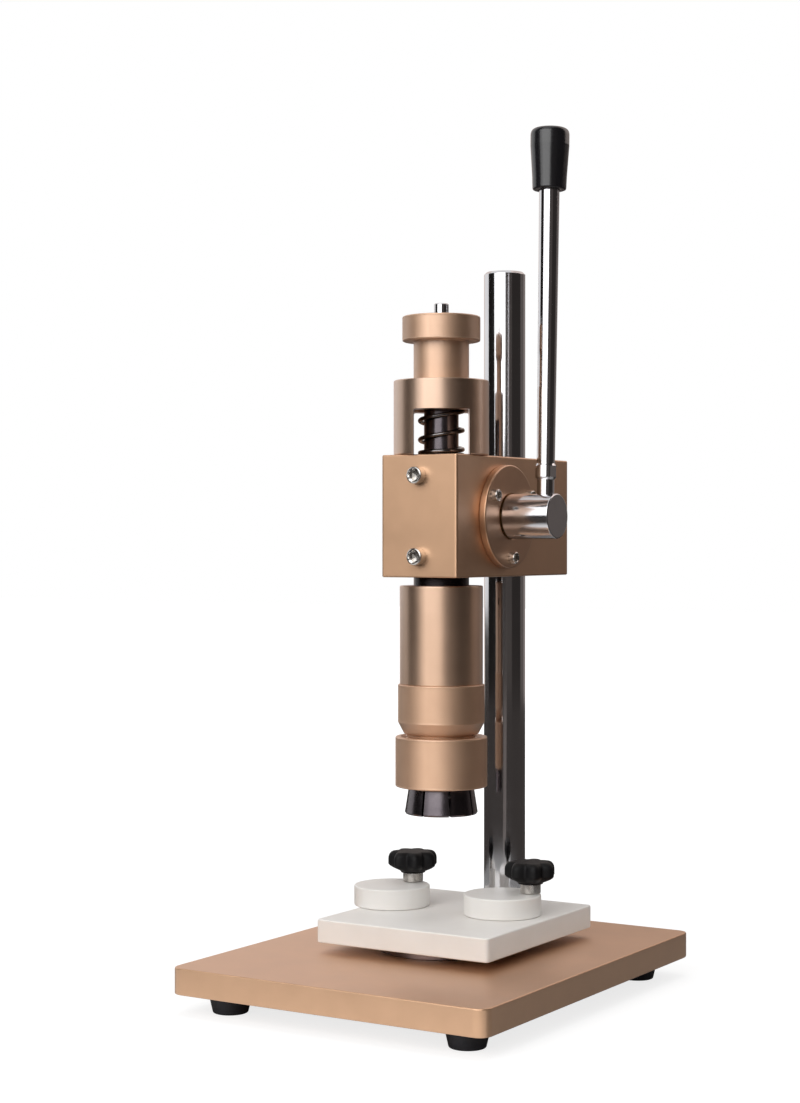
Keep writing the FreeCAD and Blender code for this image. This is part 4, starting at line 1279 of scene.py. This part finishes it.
@dataclass
class StrokeNut:
    """The knurled nut on the ram's rod that sets the stroke, with the stem's end in it."""

    knurl: Knurl = Knurl()
    rim: Rim = Rim(edge=0.9, inset=0.25, drop=0.3)
    disc_thickness: float = 14.5
    sleeve_radius: float = 16.0
    sleeve_edge: float = 0.5
    pocket_radius: float = 14.3
    thread_bore: float = 10.03
    stem_bore: float = 4.6
    stem_bore_edge: float = 0.4
    cap: float = 4.0
    thread_length: float = 21.0
    stem_chamfer: float = 0.6
    stem_edge: float = 0.3

    def build(self) -> None:
        """Make the nut and the stem."""
        room = Extent.of("stroke_nut")
        radius, low, high = room.radius, room.low.z, room.high.z
        sleeve_radius, bore = self.sleeve_radius, self.stem_bore
        disc_low = high - self.disc_thickness
        thread_top = high - self.cap
        pocket_top = thread_top - self.thread_length
        stations: List[Station] = [(bore, high - self.stem_bore_edge), (bore + self.stem_bore_edge, high)]
        stations += self.rim.upper(radius, high) + self.knurl.rows(radius, high, disc_low)
        stations += self.rim.lower(radius, disc_low)
        stations += [(sleeve_radius + self.sleeve_edge, disc_low), (sleeve_radius, disc_low - self.sleeve_edge),
                     (sleeve_radius, low + 0.6), (sleeve_radius - self.sleeve_edge, low),
                     (self.pocket_radius, low), (self.pocket_radius, pocket_top),
                     (self.thread_bore, pocket_top), (self.thread_bore, thread_top), (bore, thread_top)]
        nut = turned("nut_body", stations, room.axis, self.knurl.segments(radius), ring=True)
        dress(nut, KNURLED_ALUMINIUM, "stroke_nut", "stroke_nut", sharp=16)
        stem = Extent.of("stem")
        profile = bar(stem.low.z, stem.high.z, stem.radius, self.stem_edge, self.stem_chamfer)
        dress(turned("stem_rod", profile, room.axis), HARD_CHROME, "stem", "stem")


@dataclass
class Jaws:
    """The eight jaws, what holds them, the pinion shaft and the bushes, all shown as packed."""

    count: int = 8

    def build(self) -> None:
        """Dress each of them with the finish of its real material."""
        finishes = {**{"jaw_%d" % number: BLACK_OXIDE for number in range(1, self.count + 1)},
                    "jaw_carrier": ZINC_PLATE, "pusher": ACETAL, "jaw_opening_ring": RUBBER,
                    "jaw_keeper_ring": RUBBER, "pinion_shaft": ZINC_PLATE,
                    "left_shaft_bush": SINTERED_BRONZE, "right_shaft_bush": SINTERED_BRONZE,
                    "upper_guide_bush": SINTERED_BRONZE, "lower_guide_bush": SINTERED_BRONZE}
        for node, finish in finishes.items():
            dress_node(node, finish)


# Studio

@dataclass
class Studio:
    """The camera, the lamps, the white surround, and glowing cards that only metal mirrors: painted reflections.

    Sizes here are metres, apart from the lens. Azimuths are degrees from the front towards the lever.
    """

    azimuth: float = 31.94
    pitch_down: float = 0.31
    station: Tuple[float, float, float] = (0.61745, -1.03549, 0.26213)
    lens: float = 68.21
    world_fill: float = 0.5
    key_radiance: float = 2.0
    sheen_radiance: float = 2.8
    key_size: Tuple[float, float] = (2.0, 1.35)
    key_place: Tuple[float, float, float] = (0.0, -1.5, 1.0)
    middle: Tuple[float, float, float] = (0.0, 0.0, 0.25)
    top_radiance: float = 1.4
    top_size: float = 1.0
    top_height: float = 1.6
    card_radius: float = 2.2
    card_columns: int = 24
    card_rows: int = 8
    ring_radius: float = 0.42
    ring_height: float = 0.0005
    ring_columns: int = 48
    floor_reach: float = 6.0
    floor_grey: float = 0.34
    floor_fade: Tuple[float, float] = (0.25, 0.75)
    floor_near: float = 0.78
    # Where the floor's painted reflection before the press fades in and stops along Y, and how bright it glows
    reflection_fade: Tuple[float, float] = (-0.34, -0.2)
    reflection_end: float = -0.12
    front_reflection_glow: float = 0.7
    # The warm tint of the painted reflections, which warms the shaded sides of the gold
    reflection_tint: Tuple[float, float, float] = (1.08, 0.94, 0.88)

    def build(self) -> None:
        """Set up everything that isn't the press."""
        self.build_camera()
        self.build_world()
        self.build_floor()
        self.build_lamp("key_softbox", self.key_place, self.middle, self.key_size, self.key_radiance)
        self.build_lamp("key_sheen", self.key_place, self.middle, self.key_size, self.sheen_radiance,
                        lights=False)
        self.build_lamp("top_softbox", (0.0, 0.0, self.top_height), (0.0, 0.0, 0.0),
                        (self.top_size, self.top_size), self.top_radiance, mirrored=False)
        # Cards and floor rings that glow only in mirrors: painted reflections, dark and bright, round the press
        self.build_card("shaded_card_right", 36, 72, 0.07)
        self.build_card("dark_card_right", 72, 130, 0.03)
        self.build_card("low_card_right", 130, 160, 0.12, high=16.0)
        self.build_card("high_card_right", 130, 160, 1.4, low=16.0)
        self.build_card("low_card_back", 160, 212, 0.24, high=16.0)
        self.build_card("high_card_back", 160, 212, 0.75, low=16.0)
        self.build_card("pale_card_back", 212, 244, 0.75)
        self.build_card("dark_card_left", -74, -7, 0.012, lean=32.0)
        self.build_card("dark_card_front", -7, 36, 0.05, high=5.0)
        self.build_ring("dark_ring", 42, 384, 0.05)
        self.build_ring("grey_ring", 24, 42, 0.16)

    def build_camera(self) -> None:
        """Stand the camera where the photograph was taken from."""
        turn = math.radians(self.azimuth)
        pitch = math.radians(self.pitch_down)
        back = Vector((math.sin(turn) * math.cos(pitch), -math.cos(turn) * math.cos(pitch), math.sin(pitch)))
        data = bpy.data.cameras.new("camera")
        data.lens = self.lens
        camera = bring_in("camera", data)
        camera.location = self.station
        camera.rotation_euler = back.to_track_quat("Z", "Y").to_euler()
        bpy.context.scene.camera = camera

    def build_world(self) -> None:
        """Light the press evenly, and show white to the camera, to mirrors and through glass."""
        world = bpy.data.worlds.new("white_surround")
        tree = empty_tree(world)
        path = add_node(tree, "LightPath").outputs
        mirrored = add_node(tree, "Math", {0: path["Is Camera Ray"], 1: path["Is Glossy Ray"]},
                            operation="MAXIMUM")
        seen = add_node(tree, "Math", {0: mirrored.outputs["Value"], 1: path["Is Transmission Ray"]},
                        operation="MAXIMUM")
        strength = add_node(tree, "MapRange", {"Value": seen.outputs["Value"], "To Min": self.world_fill,
                                               "To Max": 1.0})
        light = add_node(tree, "Background", {"Color": WHITE, "Strength": strength.outputs["Result"]})
        add_node(tree, "OutputWorld", {"Surface": light.outputs["Background"]})
        bpy.context.scene.world = world

    def build_floor(self) -> None:
        """Lay a white floor that keeps the press's shadow, and that glows to mirrors alone before the press: a
        painted reflection.
        """
        reach = self.floor_reach
        mesh = bpy.data.meshes.new("floor")
        mesh.from_pydata([(-reach, -reach, 0), (reach, -reach, 0), (reach, reach, 0), (-reach, reach, 0)], [],
                         [(0, 1, 2, 3)])
        floor = bring_in("floor", mesh)
        material = bpy.data.materials.new("white_paper_floor")
        tree = empty_tree(material)
        path = add_node(tree, "LightPath").outputs
        place = add_node(tree, "TexCoord").outputs["Object"]
        away = add_node(tree, "VectorMath", {0: place}, operation="LENGTH").outputs["Value"]
        fade = add_node(tree, "MapRange", {"Value": away, "From Min": self.floor_fade[0],
                                           "From Max": self.floor_fade[1], "To Min": self.floor_near,
                                           "To Max": 1.0}).outputs["Result"]
        seen = add_node(tree, "Math", {0: path["Is Camera Ray"], 1: path["Is Transmission Ray"]},
                        operation="MAXIMUM").outputs["Value"]
        straight = add_node(tree, "Math", {0: seen, 1: fade}, operation="MULTIPLY").outputs["Value"]
        # Before the press the floor glows to glossy rays alone: a painted reflection
        across = add_node(tree, "SeparateXYZ", {"Vector": place}).outputs["Y"]
        reflection_strip = add_node(tree, "MapRange", {"Value": across, "From Min": self.reflection_fade[0],
                                            "From Max": self.reflection_fade[1], "To Min": 0.0,
                                            "To Max": self.front_reflection_glow}).outputs["Result"]
        before = add_node(tree, "Math", {0: across, 1: self.reflection_end}, operation="LESS_THAN").outputs["Value"]
        near = add_node(tree, "Math", {0: reflection_strip, 1: before}, operation="MULTIPLY").outputs["Value"]
        mirrored = add_node(tree, "Math", {0: near, 1: path["Is Glossy Ray"]},
                            operation="MULTIPLY").outputs["Value"]
        glow = add_node(tree, "Math", {0: straight, 1: mirrored}, operation="ADD").outputs["Value"]
        light = add_node(tree, "Emission", {"Color": WHITE, "Strength": glow})
        paper = add_node(tree, "BsdfDiffuse", {"Color": (*[self.floor_grey] * 3, 1.0)})
        both = add_node(tree, "AddShader", {0: light.outputs[0], 1: paper.outputs[0]})
        add_node(tree, "OutputMaterial", {"Surface": both.outputs[0]})
        mesh.materials.append(material)

    @staticmethod
    def build_lamp(name: str, place: Sequence[float], target: Sequence[float], size: Sequence[float],
                   radiance: float, mirrored: bool = True, lights: bool = True) -> None:
        """Hang a softbox.

        Args:
            name: The lamp's name.
            place: Where it hangs, in metres.
            target: What it points at.
            size: Its width and height, in metres.
            radiance: How bright its face looks, where 1 is white.
            mirrored: Whether shiny surfaces show it.
            lights: Whether it lights matt surfaces.
        """
        data = bpy.data.lights.new(name, "AREA")
        data.shape = "RECTANGLE"
        data.size, data.size_y = size
        data.energy = radiance * math.pi * size[0] * size[1]
        lamp = bring_in(name, data)
        lamp.location = place
        lamp.rotation_euler = (Vector(place) - Vector(target)).to_track_quat("Z", "Y").to_euler()
        lamp.visible_camera = False
        lamp.visible_glossy = mirrored
        lamp.visible_diffuse = lights

    def build_card(self, name: str, start: float, end: float, shade: float, low: float = -7.0,
                   high: float = 70.0, lean: float = 0.0) -> None:
        """Stand a curved glowing card round the press that only mirrors see: a painted reflection, which lights
        no matt surface and casts no shadow.

        Args:
            name: The card's name.
            start: Azimuth of its first edge.
            end: Azimuth of its last edge.
            shade: How bright it is.
            low: Elevation of its lower edge.
            high: Elevation of its upper edge.
            lean: How far its last edge leans back at the top, in degrees.
        """
        points: List[Vector] = []
        columns, rows = self.card_columns, self.card_rows
        for row, column in product(range(rows + 1), range(columns + 1)):
            rise = math.radians(low + (high - low) * row / rows)
            width = end - start - lean * row / rows
            turn = math.radians(start + width * column / columns)
            points.append(Vector((math.sin(turn) * math.cos(rise), -math.cos(turn) * math.cos(rise),
                                  math.sin(rise))) * self.card_radius + Vector(self.middle))
        firsts = [row * (columns + 1) + column for row in range(rows) for column in range(columns)]
        faces = [(first, first + 1, first + columns + 2, first + columns + 1) for first in firsts]
        self.hang_painted_reflection(name, points, faces, shade)

    def build_ring(self, name: str, start: float, end: float, shade: float) -> None:
        """Lay part of a glowing ring round the white sheet that the press stands on, which only mirrors see: a
        painted floor reflection.

        Args:
            name: The part's name.
            start: Azimuth of its first edge.
            end: Azimuth of its last edge.
            shade: How bright it is.
        """
        columns = self.ring_columns
        turns = [math.radians(start + (end - start) * column / columns) for column in range(columns + 1)]
        points = [Vector((radius * math.sin(turn), -radius * math.cos(turn), self.ring_height))
                  for radius in (self.ring_radius, self.floor_reach) for turn in turns]
        faces = [(column, column + 1, columns + 2 + column, columns + 1 + column) for column in range(columns)]
        self.hang_painted_reflection(name, points, faces, shade)

    def hang_painted_reflection(self, name: str, points: Sequence[Vector], faces: Sequence[Sequence[int]],
                   shade: float) -> None:
        """Make a warm glowing sheet of one shade, which only mirrors see: a painted reflection.

        Args:
            name: The sheet's name.
            points: Its points, in metres.
            faces: Its faces.
            shade: How bright it is, where 1 is white.
        """
        mesh = bpy.data.meshes.new(name)
        mesh.from_pydata(points, [], faces)
        material = bpy.data.materials.new(name + "_painted_reflection")
        tree = empty_tree(material)
        reflected_glow = add_node(tree, "Emission", {"Color": (*self.reflection_tint, 1.0), "Strength": shade})
        add_node(tree, "OutputMaterial", {"Surface": reflected_glow.outputs[0]})
        mesh.materials.append(material)
        card = bring_in(name, mesh)
        card.visible_camera = False
        card.visible_diffuse = False
        card.visible_shadow = False
        card.visible_transmission = False


def main() -> None:
    """Build the press in order, then the studio."""
    logging.basicConfig(level=logging.INFO, format="%(name)s: %(message)s")
    parts = (Base(), Column(), BottleTable(), BottleStop(Side.LEFT), BottleStop(Side.RIGHT), HeadBlock(),
             SpringCage(), Lever(), CrimpingHead(), StrokeNut(), Jaws(), Studio())
    for part in parts:
        part.build()
    bpy.context.scene.view_settings.view_transform = "Standard"


if __name__ == "__main__":
    main()
